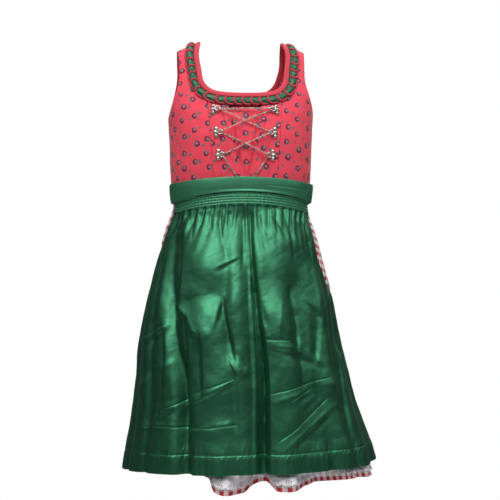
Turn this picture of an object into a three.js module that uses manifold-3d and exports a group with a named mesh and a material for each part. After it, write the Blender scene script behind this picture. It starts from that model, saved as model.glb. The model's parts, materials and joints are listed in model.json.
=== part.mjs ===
// A child's dirndl as it is worn: printed bodice laced with a chain over six hooks, ruched trim round the neck,
// gathered gingham skirt with a lace band, and a satin apron tied at the back.
// Millimetres, +Z up, the front faces -Y. The origin lies midway between the straps at the height of the shoulders.
// A place on the cloth is given as around (degrees from the centre front, + towards +X, 180 at the centre back)
// and down (millimetres along the cloth from the shoulder line) or a height z.
import * as THREE from "three";
import { mergeVertices } from "three/addons/utils/BufferGeometryUtils.js";
import Module from "manifold-3d";

const wasm = await Module();
wasm.setup();

// Driving dimensions
const cottonWall = 1.6;
const satinWall = 1.4;
const laceWall = 1.0;
const seamGap = 0.3;
const waistFront = -231;
const waistSideDrop = 14;
const skirtHem = -698;
const skirtFolds = 20;
const stationsPerFold = 4;
const apronGathers = 20;
const laceHeight = 28;
const laceAboveHem = 9;
const scallopDepth = 3.5;
const stepsPerStation = 3;
const bindingWidth = 7;
const bindingWall = 1.5;
const trimLift = 0.7;
const braidWidth = 13;
const braidHeight = 4.6;
const braidPuffs = 50;
const chainRadius = 1.0;
const ringRadius = 3.3;
const ringWire = 0.65;
const ringHeight = 4.2;
const ringClearance = 0.9;
const bandLift = 3.0;
const bandTop = 11.5;
const bandBottom = 11;
const shirringHeight = 20;
const shirringRows = 5;

const colours = {
  printedCotton: 0xd8404f,
  plainCotton: 0xcc4455,
  satin: 0x1f6b45,
  gingham: 0xd06a78,
  lace: 0xe6e2ea,
  metal: 0x9a9a90,
};

// The worn bodice's sections, from the shoulder line down. The first row mirrors the third over the shoulder.
const torsoRows = [
  { down: -12, z: -2.6, half: 118, front: -11.6, back: -11.6, square: 3.0 },
  { down: 0, z: 0, half: 118, front: 0, back: 0, square: 3.0 },
  { down: 12, z: -2.6, half: 118, front: 11.6, back: 11.6, square: 3.0 },
  { down: 26, z: -10, half: 118, front: 23, back: 24, square: 3.0 },
  { down: 45, z: -26, half: 118, front: 33, back: 37, square: 3.0 },
  { down: 75, z: -53, half: 117, front: 45, back: 52, square: 2.9 },
  { down: 105, z: -80, half: 117, front: 58, back: 64, square: 2.8 },
  { down: 130, z: -102, half: 116.5, front: 69, back: 71, square: 2.65 },
  { down: 155, z: -125, half: 115.5, front: 78, back: 75, square: 2.5 },
  { down: 190, z: -160, half: 113.5, front: 84, back: 76, square: 2.4 },
  { down: 230, z: -200, half: 112.5, front: 82, back: 71, square: 2.4 },
  { down: 270, z: -240, half: 110, front: 79, back: 67, square: 2.3 },
  { down: 295, z: -265, half: 107, front: 78, back: 66, square: 2.3 },
];

// The skirt's and apron's widest outline at each height.
const skirtRows = [
  { z: -700, left: 190, right: 226, front: 172, back: 171, square: 2.1 },
  { z: -683, left: 189, right: 222, front: 171, back: 170, square: 2.1 },
  { z: -643, left: 184, right: 211, front: 168, back: 167, square: 2.1 },
  { z: -605, left: 177, right: 197, front: 164, back: 162, square: 2.1 },
  { z: -566, left: 171, right: 183, front: 159, back: 157, square: 2.1 },
  { z: -528, left: 167, right: 174, front: 154, back: 152, square: 2.1 },
  { z: -490, left: 165, right: 164, front: 148, back: 146, square: 2.1 },
  { z: -451, left: 158, right: 156, front: 141, back: 139, square: 2.1 },
  { z: -413, left: 150, right: 149, front: 132, back: 130, square: 2.15 },
  { z: -375, left: 141, right: 139, front: 121, back: 119, square: 2.15 },
  { z: -336, left: 130, right: 129, front: 108, back: 105, square: 2.2 },
  { z: -300, left: 121, right: 119, front: 94, back: 88, square: 2.2 },
  { z: -280, left: 113, right: 111, front: 85, back: 76, square: 2.3 },
  { z: -262, left: 108, right: 108, front: 81, back: 69, square: 2.3 },
  { z: -232, left: 111, right: 111, front: 81, back: 69, square: 2.3 },
];

// Half of each edge and seam of the bodice, on its front or back, as x and z. They are mirrored for the other half.
const frontNeck = [
  { x: 58, z: -78 },
  { x: 64, z: -67 },
  { x: 67, z: -46 },
  { x: 69.5, z: -25 },
  { x: 67, z: -8 },
  { x: 65, z: 0 },
];
const neckBottom = [
  { x: 26, z: -88.6 },
  { x: 46, z: -85.5 },
  { x: 58, z: -78 },
];
const insertNeck = [
  { x: -30, z: -88.2 },
  { x: 0, z: -89.5 },
  { x: 30, z: -88.2 },
];
const backNeck = [
  { x: 0, z: -79 },
  { x: 36, z: -77 },
  { x: 58, z: -66 },
  { x: 67, z: -42 },
  { x: 67, z: -16 },
  { x: 65, z: 0 },
];
const princessSeam = [
  { x: 47, z: waistFront },
  { x: 50, z: -200 },
  { x: 54, z: -150 },
  { x: 56.5, z: -105 },
  { x: 58, z: -78 },
];
const frontEdge = [
  { x: 4.5, z: waistFront },
  { x: 6.5, z: -218 },
  { x: 17, z: -175 },
  { x: 24, z: -140 },
  { x: 25.5, z: -110 },
  { x: 26, z: -88.6 },
];
// The side seam and the armhole are given by around, because they cross the side.
const sideSeam = [
  { around: 58, z: -245 },
  { around: 58, z: -190 },
  { around: 68, z: -152 },
  { around: 86, z: -125 },
];
const frontArmhole = [
  { around: 86, z: -125 },
  { around: 71, z: -112 },
  { around: 64, z: -102 },
  { around: 57.5, z: -89 },
  { around: 52, z: -72 },
  { around: 49.7, z: -52 },
  { around: 49.5, z: -34 },
  { around: 51, z: -16 },
];
const backArmhole = [
  { around: 86, z: -125 },
  { around: 105, z: -118 },
  { around: 118, z: -100 },
  { around: 126, z: -78 },
  { around: 130, z: -52 },
  { around: 130, z: -32 },
  { around: 129, z: -16 },
];

// The apron's side edges, degrees around, and its hem and the skirt's hem, raised from their lowest height.
const apronEdges = [
  { z: -690, left: -96, right: 92 },
  { z: -450, left: -95, right: 90 },
  { z: -410, left: -94, right: 80 },
  { z: -375, left: -93, right: 67 },
  { z: -336, left: -91, right: 61 },
  { z: -310, left: -82, right: 62 },
  { z: -270, left: -76, right: 74 },
  { z: -230, left: -76, right: 76 },
];
const apronHemLine = [
  { around: -100, z: -680 },
  { around: -40, z: -669 },
  { around: 0, z: -666 },
  { around: 50, z: -666 },
  { around: 95, z: -662 },
];
const skirtHemLift = [
  { around: -180, lift: 0 },
  { around: -132, lift: 4 },
  { around: -108, lift: 22 },
  { around: -80, lift: 28 },
  { around: -27, lift: 30 },
  { around: -18, lift: 26 },
  { around: -13, lift: 4 },
  { around: -3, lift: 0 },
  { around: 2, lift: 11 },
  { around: 7, lift: 18 },
  { around: 11, lift: 5 },
  { around: 20, lift: 5 },
  { around: 30, lift: 12 },
  { around: 50, lift: 14 },
  { around: 80, lift: 6 },
  { around: 105, lift: 0 },
  { around: 180, lift: 0 },
];

// The apron's main folds: where each runs, in degrees around at four heights, its half width in millimetres,
// and how far it lies in (-) or stands out (+) at the top, the middle and the hem.
const foldHeights = { top: -290, upper: -420, lower: -530, hem: -670 };
const apronFolds = [
  { top: -64, upper: -50, lower: -38, hem: -32, width: 12, start: -4, middle: -11, end: -13 },
  { top: -1, upper: 2, lower: 4, hem: 5, width: 13, start: -5, middle: -14, end: -19 },
  { top: 46, upper: 34, lower: 33, hem: 30, width: 24, start: -2, middle: -8, end: -2 },
  { top: 10, upper: 20, lower: 20, hem: 15, width: 15, start: 0, middle: 3, end: 2 },
  { top: -30, upper: -27, lower: -20, hem: -14, width: 22, start: 0, middle: 3, end: 1 },
  { top: 52, upper: 47, lower: 40, hem: 37, width: 10, start: 0, middle: -2, end: -6 },
  { top: 60, upper: 60, lower: 54, hem: 51, width: 9, start: 0, middle: -3, end: -5 },
  { top: -72, upper: -66, lower: -60, hem: -57, width: 9, start: 0, middle: -4, end: -6 },
  { top: -84, upper: -82, lower: -78, hem: -76, width: 12, start: -2, middle: -3, end: -5 },
  { top: 70, upper: 72, lower: 70, hem: 68, width: 12, start: -2, middle: -3, end: -4 },
  { top: -14, upper: -14, lower: -9, hem: -6, width: 8, start: -2, middle: -4, end: -2 },
];

// The hooks, each on the front panel beside its seam, and the ring towards the centre that the chain runs through.
const hookRows = [
  { name: "top", x: 49.4, ring: 42.6, z: -115.5 },
  { name: "middle", x: 45.7, ring: 38.9, z: -151.5 },
  { name: "bottom", x: 42.1, ring: 35.6, z: -186 },
];

const radians = THREE.MathUtils.degToRad;
const degrees = THREE.MathUtils.radToDeg;
const lerp = THREE.MathUtils.lerp;
const smooth = (value, low, high) => THREE.MathUtils.smoothstep(value, low, high);

// A table's columns at a place between its rows, along a curve that never passes the rows' values.
function between(rows, key, at) {
  const rising = rows[0][key] < rows[rows.length - 1][key];
  const list = rising ? rows : [...rows].reverse();
  const last = list.length - 1;
  const place = THREE.MathUtils.clamp(at, list[0][key], list[last][key]);
  let k = 0;
  while (k < last - 1 && list[k + 1][key] < place) k += 1;
  const step = list[k + 1][key] - list[k][key];
  const share = (place - list[k][key]) / step;
  const slopeOf = (j, name) => (list[j + 1][name] - list[j][name]) / (list[j + 1][key] - list[j][key]);
  const tangentOf = (j, name) => {
    if (j === 0) return slopeOf(0, name);
    if (j === last) return slopeOf(last - 1, name);
    const before = slopeOf(j - 1, name);
    const after = slopeOf(j, name);
    return before * after > 0 ? (2 * before * after) / (before + after) : 0;
  };
  const result = {};
  for (const name of Object.keys(list[0])) {
    if (name === key || typeof list[0][name] !== "number") continue;
    const a = list[k][name];
    const b = list[k + 1][name];
    const ta = tangentOf(k, name) * step;
    const tb = tangentOf(k + 1, name) * step;
    const s2 = share * share;
    const s3 = s2 * share;
    result[name] =
      (2 * s3 - 3 * s2 + 1) * a + (s3 - 2 * s2 + share) * ta + (3 * s2 - 2 * s3) * b + (s3 - s2) * tb;
  }
  return result;
}

// A rounded section: the direction around is taken in the section scaled to a square, so it stays even when flat.
function sectionPoint(around, left, right, front, back, square) {
  const side = Math.sin(radians(around));
  const ahead = Math.cos(radians(around));
  const reach = (Math.abs(side) ** square + Math.abs(ahead) ** square) ** (-1 / square);
  const x = side * reach * (side > 0 ? right : left);
  const y = -ahead * reach * (ahead > 0 ? front : back);
  return [x, y];
}

// How far the shoulder line falls away from the neck.
function shoulderDrop(x, down) {
  const past = Math.max(0, Math.abs(x) - 58);
  return -0.36 * past * (1 - smooth(down, 10, 150));
}

function torsoPoint(around, down) {
  const row = between(torsoRows, "down", down);
  const [x, y] = sectionPoint(around, row.half, row.half, row.front, row.back, row.square);
  return new THREE.Vector3(x, y, row.z + shoulderDrop(x, down));
}

// A surface's outward normal from its two directions.
function normalOf(surface, around, place, step) {
  const a = surface(around - 0.2, place);
  const b = surface(around + 0.2, place);
  const c = surface(around, place - step);
  const d = surface(around, place + step);
  return b.sub(a).cross(c.sub(d)).normalize();
}

function torsoNormal(around, down) {
  return normalOf(torsoPoint, around, Math.max(down, 0.3), 0.25);
}

// The place on the torso with this x and z, on the front or the back.
function onTorso(x, z, isBack = false) {
  let low = 0;
  let high = 295;
  let row;
  for (let i = 0; i < 40; i += 1) {
    const middle = (low + high) / 2;
    row = between(torsoRows, "down", middle);
    if (row.z + shoulderDrop(x, middle) > z) low = middle;
    else high = middle;
  }
  const share = Math.min(0.9999, Math.abs(x) / row.half) ** row.square;
  const around = degrees(Math.atan((share / (1 - share)) ** (1 / row.square))) * Math.sign(x || 1);
  return { around: isBack ? 180 * Math.sign(x || 1) - around : around, down: low };
}

// The place on the torso at this angle and height.
function atHeight(around, z) {
  let low = 0;
  let high = 295;
  for (let i = 0; i < 40; i += 1) {
    const middle = (low + high) / 2;
    if (torsoPoint(around, middle).z > z) low = middle;
    else high = middle;
  }
  return { around, down: low };
}

function placeOf(point, isBack) {
  return "around" in point ? atHeight(point.around, point.z) : onTorso(point.x, point.z, isBack);
}

// Evenly sampled places along an edge or seam.
function along(points, count, isBack = false) {
  const places = points.map((point) => placeOf(point, isBack));
  const curve = new THREE.SplineCurve(places.map((p) => new THREE.Vector2(p.around, p.down)));
  return Array.from({ length: count + 1 }, (_, k) => {
    const p = curve.getPoint(k / count);
    return { around: p.x, down: p.y };
  });
}

function waistHeight(around) {
  const turned = Math.min(Math.abs(around), 90);
  return waistFront - waistSideDrop * Math.sin(radians(turned)) ** 2;
}

function waistPlace(around) {
  return atHeight(around, waistHeight(around) + seamGap);
}

// A grid of places filled in from its four edges, each an array of places.
function fillGrid(left, right, bottom, top) {
  const columns = bottom.length - 1;
  const rows = left.length - 1;
  const mix = (name, i, j) => {
    const a = i / columns;
    const b = j / rows;
    const corners =
      (1 - a) * ((1 - b) * bottom[0][name] + b * top[0][name]) +
      a * ((1 - b) * bottom[columns][name] + b * top[columns][name]);
    return (
      (1 - a) * left[j][name] + a * right[j][name] + (1 - b) * bottom[i][name] + b * top[i][name] - corners
    );
  };
  return Array.from({ length: rows + 1 }, (_, j) =>
    Array.from({ length: columns + 1 }, (__, i) => ({ around: mix("around", i, j), down: mix("down", i, j) })),
  );
}

function straight(from, to, count) {
  return Array.from({ length: count + 1 }, (_, k) => ({
    around: lerp(from.around, to.around, k / count),
    down: lerp(from.down, to.down, k / count),
  }));
}

function waistEdge(from, to, count) {
  return Array.from({ length: count + 1 }, (_, k) => waistPlace(lerp(from, to, k / count)));
}

// A closed solid from two equal grids of points, with rims; wrapped solids close on themselves along each row.
function solidFromGrids(outer, inner, wrapped = false) {
  const rows = outer.length;
  const columns = outer[0].length;
  const positions = [];
  for (const grid of [outer, inner])
    for (const row of grid) for (const point of row) positions.push(point.x, point.y, point.z);
  const index = [];
  const at = (side, j, i) => side * rows * columns + j * columns + (i % columns);
  const quad = (a, b, c, d) => index.push(a, b, c, a, c, d);
  const spans = wrapped ? columns : columns - 1;
  for (let j = 0; j < rows - 1; j += 1)
    for (let i = 0; i < spans; i += 1) {
      quad(at(0, j, i), at(0, j, i + 1), at(0, j + 1, i + 1), at(0, j + 1, i));
      quad(at(1, j, i), at(1, j + 1, i), at(1, j + 1, i + 1), at(1, j, i + 1));
    }
  for (let i = 0; i < spans; i += 1) {
    quad(at(0, 0, i + 1), at(0, 0, i), at(1, 0, i), at(1, 0, i + 1));
    quad(at(0, rows - 1, i), at(0, rows - 1, i + 1), at(1, rows - 1, i + 1), at(1, rows - 1, i));
  }
  if (!wrapped)
    for (let j = 0; j < rows - 1; j += 1) {
      quad(at(0, j, 0), at(0, j + 1, 0), at(1, j + 1, 0), at(1, j, 0));
      quad(at(0, j + 1, columns - 1), at(0, j, columns - 1), at(1, j, columns - 1), at(1, j + 1, columns - 1));
    }
  return facingOut(positions, index);
}

// A closed tube from rings of points; its ends are capped, or it closes on itself.
function tubeFromRings(rings, isLoop) {
  const sides = rings[0].length;
  const positions = rings.flatMap((ring) => ring.flatMap((point) => [point.x, point.y, point.z]));
  const index = [];
  const at = (k, i) => (k % rings.length) * sides + (i % sides);
  const spans = isLoop ? rings.length : rings.length - 1;
  for (let k = 0; k < spans; k += 1)
    for (let i = 0; i < sides; i += 1) {
      index.push(at(k, i), at(k, i + 1), at(k + 1, i + 1));
      index.push(at(k, i), at(k + 1, i + 1), at(k + 1, i));
    }
  if (!isLoop)
    for (let i = 1; i < sides - 1; i += 1) {
      index.push(at(0, 0), at(0, i + 1), at(0, i));
      index.push(at(rings.length - 1, 0), at(rings.length - 1, i), at(rings.length - 1, i + 1));
    }
  return facingOut(positions, index);
}

// Turns every face round where they point inwards.
function facingOut(positions, index) {
  let volume = 0;
  const corner = (k) => new THREE.Vector3().fromArray(positions, 3 * k);
  for (let k = 0; k < index.length; k += 3)
    volume += corner(index[k]).dot(corner(index[k + 1]).cross(corner(index[k + 2])));
  if (volume < 0) for (let k = 0; k < index.length; k += 3) [index[k], index[k + 1]] = [index[k + 1], index[k]];
  const geometry = new THREE.BufferGeometry();
  geometry.setAttribute("position", new THREE.Float32BufferAttribute(positions, 3));
  geometry.setIndex(index);
  geometry.computeVertexNormals();
  return geometry;
}

// Draws each edge point of a grid back towards its neighbour, so that a seam keeps its gap.
function trimmed(grid, edges) {
  const pull = (from, towards) => from.add(towards.clone().sub(from).setLength(seamGap / 2));
  const rows = grid.length;
  const columns = grid[0].length;
  if (edges.includes("left")) grid.forEach((row) => pull(row[0], row[1]));
  if (edges.includes("right")) grid.forEach((row) => pull(row[columns - 1], row[columns - 2]));
  if (edges.includes("bottom")) grid[0].forEach((point, i) => pull(point, grid[1][i]));
  if (edges.includes("top")) grid[rows - 1].forEach((point, i) => pull(point, grid[rows - 2][i]));
  return grid;
}

// A bodice panel: the torso's surface over a grid of places, and the same surface one wall further in.
function panel(places, edges, lift = 0, isMirrored = false) {
  const lifted = (amount) =>
    places.map((row) =>
      row.map(({ around, down }) => {
        const point = torsoPoint(around, down).addScaledVector(torsoNormal(around, down), amount);
        return isMirrored ? point.setX(-point.x) : point;
      }),
    );
  return solidFromGrids(trimmed(lifted(lift), edges), trimmed(lifted(lift - cottonWall), edges));
}

const seamSteps = 5;
const armholeSteps = 7;
const princessSteps = 7;
const neckSteps = 5;

function sideFrontPlaces() {
  const seam = along(sideSeam, seamSteps);
  const outer = [...seam, ...along(frontArmhole, armholeSteps).slice(1)];
  const princess = along(princessSeam, princessSteps);
  const inner = [...princess, ...along(frontNeck, neckSteps).slice(1)];
  const bottom = waistEdge(outer[0].around, inner[0].around, 4);
  outer[0] = bottom[0];
  inner[0] = bottom[4];
  const shoulder = straight({ ...outer[outer.length - 1], down: 0 }, { ...inner[inner.length - 1], down: 0 }, 4);
  outer[outer.length - 1] = shoulder[0];
  inner[inner.length - 1] = shoulder[4];
  return fillGrid(outer, inner, bottom, shoulder);
}

function centreFrontPlaces() {
  const outer = along(princessSeam, princessSteps);
  const inner = along(frontEdge, princessSteps);
  const bottom = waistEdge(outer[0].around, inner[0].around, 3);
  outer[0] = bottom[0];
  inner[0] = bottom[3];
  const neck = along(neckBottom, 3).reverse();
  return fillGrid(outer, inner, bottom, neck);
}

function insertPlaces() {
  const wide = 8;
  const edge = frontEdge.map((point) => ({ x: point.x + wide, z: point.z }));
  edge[edge.length - 1].z = insertNeck[2].z;
  edge[edge.length - 1].x = insertNeck[2].x;
  const right = along(edge, princessSteps);
  const left = right.map((p) => ({ around: -p.around, down: p.down }));
  const bottom = waistEdge(left[0].around, right[0].around, 4);
  left[0] = bottom[0];
  right[0] = bottom[4];
  return fillGrid(left, right, bottom, along(insertNeck, 4));
}

function backPlaces() {
  const seam = along(sideSeam, seamSteps);
  const outer = [...seam, ...along(backArmhole, armholeSteps).slice(1)];
  const neck = along(backNeck, neckSteps, true);
  const low = waistPlace(180);
  const centre = straight(low, neck[0], outer.length - 1 - neckSteps);
  const inner = [...centre, ...neck.slice(1)];
  const bottom = waistEdge(outer[0].around, 180, 8);
  outer[0] = bottom[0];
  inner[0] = bottom[8];
  const shoulder = straight({ ...outer[outer.length - 1], down: 0 }, { ...inner[inner.length - 1], down: 0 }, 8);
  outer[outer.length - 1] = shoulder[0];
  inner[inner.length - 1] = shoulder[8];
  return fillGrid(outer, inner, bottom, shoulder);
}

// The skirt and apron hang over sections that widen to the hem; depth moves a point in or out from the outline.
function skirtPoint(around, z, depth = 0) {
  const row = between(skirtRows, "z", z);
  const at = (angle) => sectionPoint(angle, row.left, row.right, row.front, row.back, row.square);
  const [x, y] = at(around);
  const [ax, ay] = at(around - 0.2);
  const [bx, by] = at(around + 0.2);
  const length = Math.hypot(bx - ax, by - ay);
  return new THREE.Vector3(x + (depth * -(ay - by)) / length, y - (depth * (bx - ax)) / length, z);
}

// Degrees around to millimetres along the outline, near enough for a fold's width.
function outlineScale(z) {
  const row = between(skirtRows, "z", z);
  return (((row.left + row.right) / 2 + row.front) / 2) * radians(1);
}

// A fold's place and depth between its three or four stated heights.
function foldAt(fold, z) {
  const { top, upper, lower, hem } = foldHeights;
  const rows = [
    { z: hem, around: fold.hem, depth: fold.end },
    { z: lower, around: fold.lower, depth: fold.middle },
    { z: upper, around: fold.upper, depth: fold.middle },
    { z: top, around: fold.top, depth: fold.start },
  ];
  return between(rows, "z", z);
}

// How far the apron's outer face lies in from the outline: the sum of its folds and of the gathers under the band.
function apronDepth(around, z) {
  const scale = outlineScale(z);
  let depth = -1;
  for (const fold of apronFolds) {
    const place = foldAt(fold, z);
    const away = ((around - place.around) * scale) / fold.width;
    depth += place.depth * Math.exp(-away * away) * smooth(-z, 262, 300);
  }
  const edges = between(apronEdges, "z", z);
  const share = around < 0 ? 0.5 - around / edges.left / 2 : 0.5 + around / edges.right / 2;
  const gather = (1 - Math.cos(2 * Math.PI * apronGathers * share)) / 2;
  return depth - 2.2 * gather * (1 - smooth(-z, 270, 350)) * smooth(-z, 240, 262);
}

// The folds of the skirt: stations at the crest, flank, foot and flank of each fold, unevenly spaced around.
function stationAround(station) {
  const turn = (station / (skirtFolds * stationsPerFold)) * 360 - 187;
  return turn + 2.2 * Math.sin(radians(3 * turn + 40)) + 1.4 * Math.sin(radians(5 * turn));
}

function skirtDepth(station, around, z) {
  const foot = (1 - Math.cos((2 * Math.PI * station) / stationsPerFold)) / 2;
  const uneven = 0.8 + 0.25 * Math.sin(radians(2 * around + 60)) + 0.15 * Math.sin(radians(7 * around));
  const fall = smooth(-z, 250, 640);
  let depth = -foot * uneven * lerp(2, 15, fall);
  // The foot beside the centre front is the deepest, under the apron's own deepest fold.
  depth -= foot * 16 * Math.exp(-(((around - 5) / 8) ** 2)) * smooth(-z, 420, 600);
  // Beside the apron's right corner the skirt hangs well inside it.
  depth -= 17 * Math.exp(-(((around - 106) / 24) ** 2)) * smooth(-z, 540, 690);
  const edges = between(apronEdges, "z", z);
  const beyondLeft = smooth(around, edges.left - 10, edges.left - 2);
  const covered = beyondLeft * (1 - smooth(around, edges.right + 2, edges.right + 10));
  const nearWaist = smooth(-z, 236, 300);
  depth -= covered * lerp(2.2, 6, nearWaist);
  if (covered > 0)
    for (const shift of [-5, -2.5, 0, 2.5, 5]) {
      const place = THREE.MathUtils.clamp(around + shift, edges.left, edges.right);
      const room = apronDepth(place, z) - satinWall - lerp(1.8, 4.2, smooth(-z, 600, 650));
      depth = Math.min(depth, lerp(0, room, Math.min(1, covered * 4)));
    }
  return depth;
}

const skirtShares = [0, 0.04, 0.1, 0.2, 0.36, 0.55, 0.74, 0.915, 1];
const stationCount = skirtFolds * stationsPerFold;

// Maps a share of the apron's width to an angle: the middle column stays at the centre front at every height.
function apronAround(share, edges) {
  return share < 0.5 ? edges.left * (1 - 2 * share) : edges.right * (2 * share - 1);
}

function hemLift(around) {
  return between(skirtHemLift, "around", around).lift;
}

// One station of the skirt from the waist to the hem; near the waist it meets the bodice's outline.
function skirtStation(station, share, inwards = 0) {
  const around = stationAround(station);
  const wrapped = around > 180 ? around - 360 : around < -180 ? around + 360 : around;
  const top = waistHeight(wrapped) - seamGap;
  const hem = skirtHem + hemLift(wrapped);
  const z = lerp(top, hem, share);
  // From the lace's top edge down the folds keep their depth, so the lace lies close on them.
  const foldHeight = Math.max(z, hem + laceAboveHem + laceHeight);
  return skirtPoint(wrapped, z, skirtDepth(station, wrapped, foldHeight) - inwards);
}

function skirtHalf(first, last) {
  const grid = (inwards) =>
    skirtShares.map((share) =>
      Array.from({ length: last - first + 1 }, (_, k) => skirtStation(first + k, share, inwards)),
    );
  return solidFromGrids(trimmed(grid(0), ["left", "right"]), trimmed(grid(cottonWall), ["left", "right"]));
}

// The lace lies on the skirt's flat facets, so its points are the skirt's own, moved out along each facet.
function laceHalf(first, last) {
  const steps = (last - first) * stepsPerStation;
  const facetPoint = (place, height) => {
    const k = Math.min(Math.floor(place), last - 1);
    const onStation = (station) => {
      const rows = skirtShares.map((share) => skirtStation(station, share));
      let j = rows.length - 2;
      const hem = rows[rows.length - 1];
      const z = hem.z + height;
      while (rows[j].z < z) j -= 1;
      return rows[j + 1].clone().lerp(rows[j], (z - rows[j + 1].z) / (rows[j].z - rows[j + 1].z));
    };
    return onStation(k).lerp(onStation(k + 1), place - k);
  };
  const outwards = (place, height) => {
    const before = facetPoint(Math.max(place - 0.5, first), height);
    const after = facetPoint(Math.min(place + 0.5, last), height);
    const across = after.sub(before).normalize();
    return new THREE.Vector3(across.y, -across.x, 0).normalize();
  };
  const grid = (lift) =>
    [0, 1].map((row) =>
      Array.from({ length: steps + 1 }, (_, k) => {
        const place = first + k / stepsPerStation;
        const scallop = row === 0 && k % 2 === 0 ? scallopDepth : 0;
        const height = laceAboveHem + row * laceHeight + scallop;
        return facetPoint(place, height).addScaledVector(outwards(place, height), lift);
      }),
    );
  const clear = seamGap + 0.3;
  return solidFromGrids(
    trimmed(grid(clear + laceWall), ["left", "right"]),
    trimmed(grid(clear), ["left", "right"]),
  );
}

// The apron's cloth below the shirring.
function apronSkirt() {
  const columns = apronGathers * 3;
  const shares = [0, 0.03, 0.08, 0.15, 0.24, 0.34, 0.45, 0.56, 0.67, 0.78, 0.89, 1];
  const grid = (inwards) =>
    shares.map((share) =>
      Array.from({ length: columns + 1 }, (_, i) => {
        const a = i / columns;
        const top = waistHeight(apronAround(a, apronEdges[7])) - bandBottom - shirringHeight;
        const hemAround = apronAround(a, apronEdges[0]);
        const hem = between(apronHemLine, "around", hemAround).z;
        const z = lerp(top, hem, share);
        const around = apronAround(a, between(apronEdges, "z", z));
        return skirtPoint(around, z, apronDepth(around, z) - inwards);
      }),
    );
  return solidFromGrids(grid(0), grid(satinWall));
}

// The shirred heading: rows of stitching raise ridges on its outer face between them.
function apronShirring() {
  const columns = 20;
  const levels = 2 * shirringRows + 1;
  const grid = (side) =>
    Array.from({ length: levels + 1 }, (_, j) =>
      Array.from({ length: columns + 1 }, (__, i) => {
        const around = apronAround(i / columns, apronEdges[7]);
        const top = waistHeight(around) - 4;
        const bottom = waistHeight(around) - bandBottom - shirringHeight + seamGap + 0.2;
        const z = lerp(bottom, top, j / levels);
        const isRidge = j % 2 === 1 && j < levels - 1;
        const depth = lerp(-1, 0.6, smooth(z, -262, -240)) + (isRidge ? 1.1 : 0);
        return skirtPoint(around, z, side === 0 ? depth : lerp(-2.4, -0.8, smooth(z, -262, -240)));
      }),
    );
  return solidFromGrids(grid(0), grid(1));
}

// A band round the waist between two angles, standing off the cloth by lift, with its height eased along it.
function waistStrip(from, to, columns, lift, heightAt) {
  const levels = [0, 0.3, 0.7, 1];
  const crown = [0, 0.8, 0.8, 0];
  const grid = (out) =>
    levels.map((level, j) =>
      Array.from({ length: columns + 1 }, (_, i) => {
        const around = lerp(from, to, i / columns);
        const { up, below } = heightAt(around);
        const z = waistHeight(around) + lerp(-below, up, level);
        return skirtPoint(around, z, lift + crown[j] + out);
      }),
    );
  return solidFromGrids(grid(satinWall), grid(0));
}

function bandHeight(around) {
  const side = Math.sin(radians(Math.min(Math.abs(around), 90))) ** 2;
  return { up: bandTop + 3.5 * side, below: bandBottom + 4 * side };
}

// The ties keep the band's height at the sides and draw in towards the knot.
function tieHeight(around) {
  const drawn = smooth(Math.abs(around), 100, 172);
  return { up: lerp(14.5, 9, drawn), below: lerp(14.5, 9, drawn) };
}

// The knot and bow sit on the ties at the centre back.
const bowSizes = { out: 73, z: -245, knotWide: 26, knotHigh: 24, knotDeep: 12 };
const loopSizes = { long: 82, high: 34, open: 20, rootHigh: 18, droop: 10 };

function bowKnot() {
  const { out, z, knotWide, knotHigh, knotDeep } = bowSizes;
  const rings = [-1, -0.6, 0, 0.6, 1].map((share) => {
    const swell = Math.sqrt(1 - 0.55 * share * share);
    return Array.from({ length: 10 }, (_, i) => {
      const turn = (2 * Math.PI * i) / 10;
      const y = out + knotDeep / 2 + (Math.cos(turn) * knotDeep * swell) / 2;
      return new THREE.Vector3((share * knotWide) / 2, y, z + (Math.sin(turn) * knotHigh * swell) / 2);
    });
  });
  return tubeFromRings(rings, false);
}

// A strip of cloth swept along a flat path of x and y, its height changing along it.
function sweptStrip(path, heightAt, tiltAt = () => 0) {
  const points = path.getPoints(14);
  const grid = (side) =>
    [-0.5, 0, 0.5].map((level) =>
      points.map((point, k) => {
        const share = k / (points.length - 1);
        const tangent = path.getTangent(share);
        const shift = (side * satinWall) / 2;
        const z = bowSizes.z + level * heightAt(share) + tiltAt(share);
        return new THREE.Vector3(point.x - tangent.y * shift, point.y + tangent.x * shift, z);
      }),
    );
  return solidFromGrids(grid(1), grid(-1));
}

function bowLoop(side) {
  const { out, knotWide, knotDeep } = bowSizes;
  const { long, high, open, rootHigh, droop } = loopSizes;
  const root = (side * knotWide) / 2 + side * 0.4;
  const middle = out + knotDeep / 2;
  const path = new THREE.CatmullRomCurve3(
    [
      new THREE.Vector2(root, middle - 1.4),
      new THREE.Vector2(root + side * long * 0.4, middle - open * 0.28),
      new THREE.Vector2(root + side * long * 0.85, middle - open * 0.3),
      new THREE.Vector2(root + side * long, middle + 2),
      new THREE.Vector2(root + side * long * 0.85, middle + open * 0.6),
      new THREE.Vector2(root + side * long * 0.4, middle + open * 0.5),
      new THREE.Vector2(root, middle + 1.4),
    ].map((p) => new THREE.Vector3(p.x, p.y, 0)),
  );
  const heightAt = (share) => lerp(rootHigh, high, Math.sin(Math.PI * share) ** 0.8);
  return sweptStrip(path, heightAt, (share) => -droop * Math.sin(Math.PI * share));
}

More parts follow.
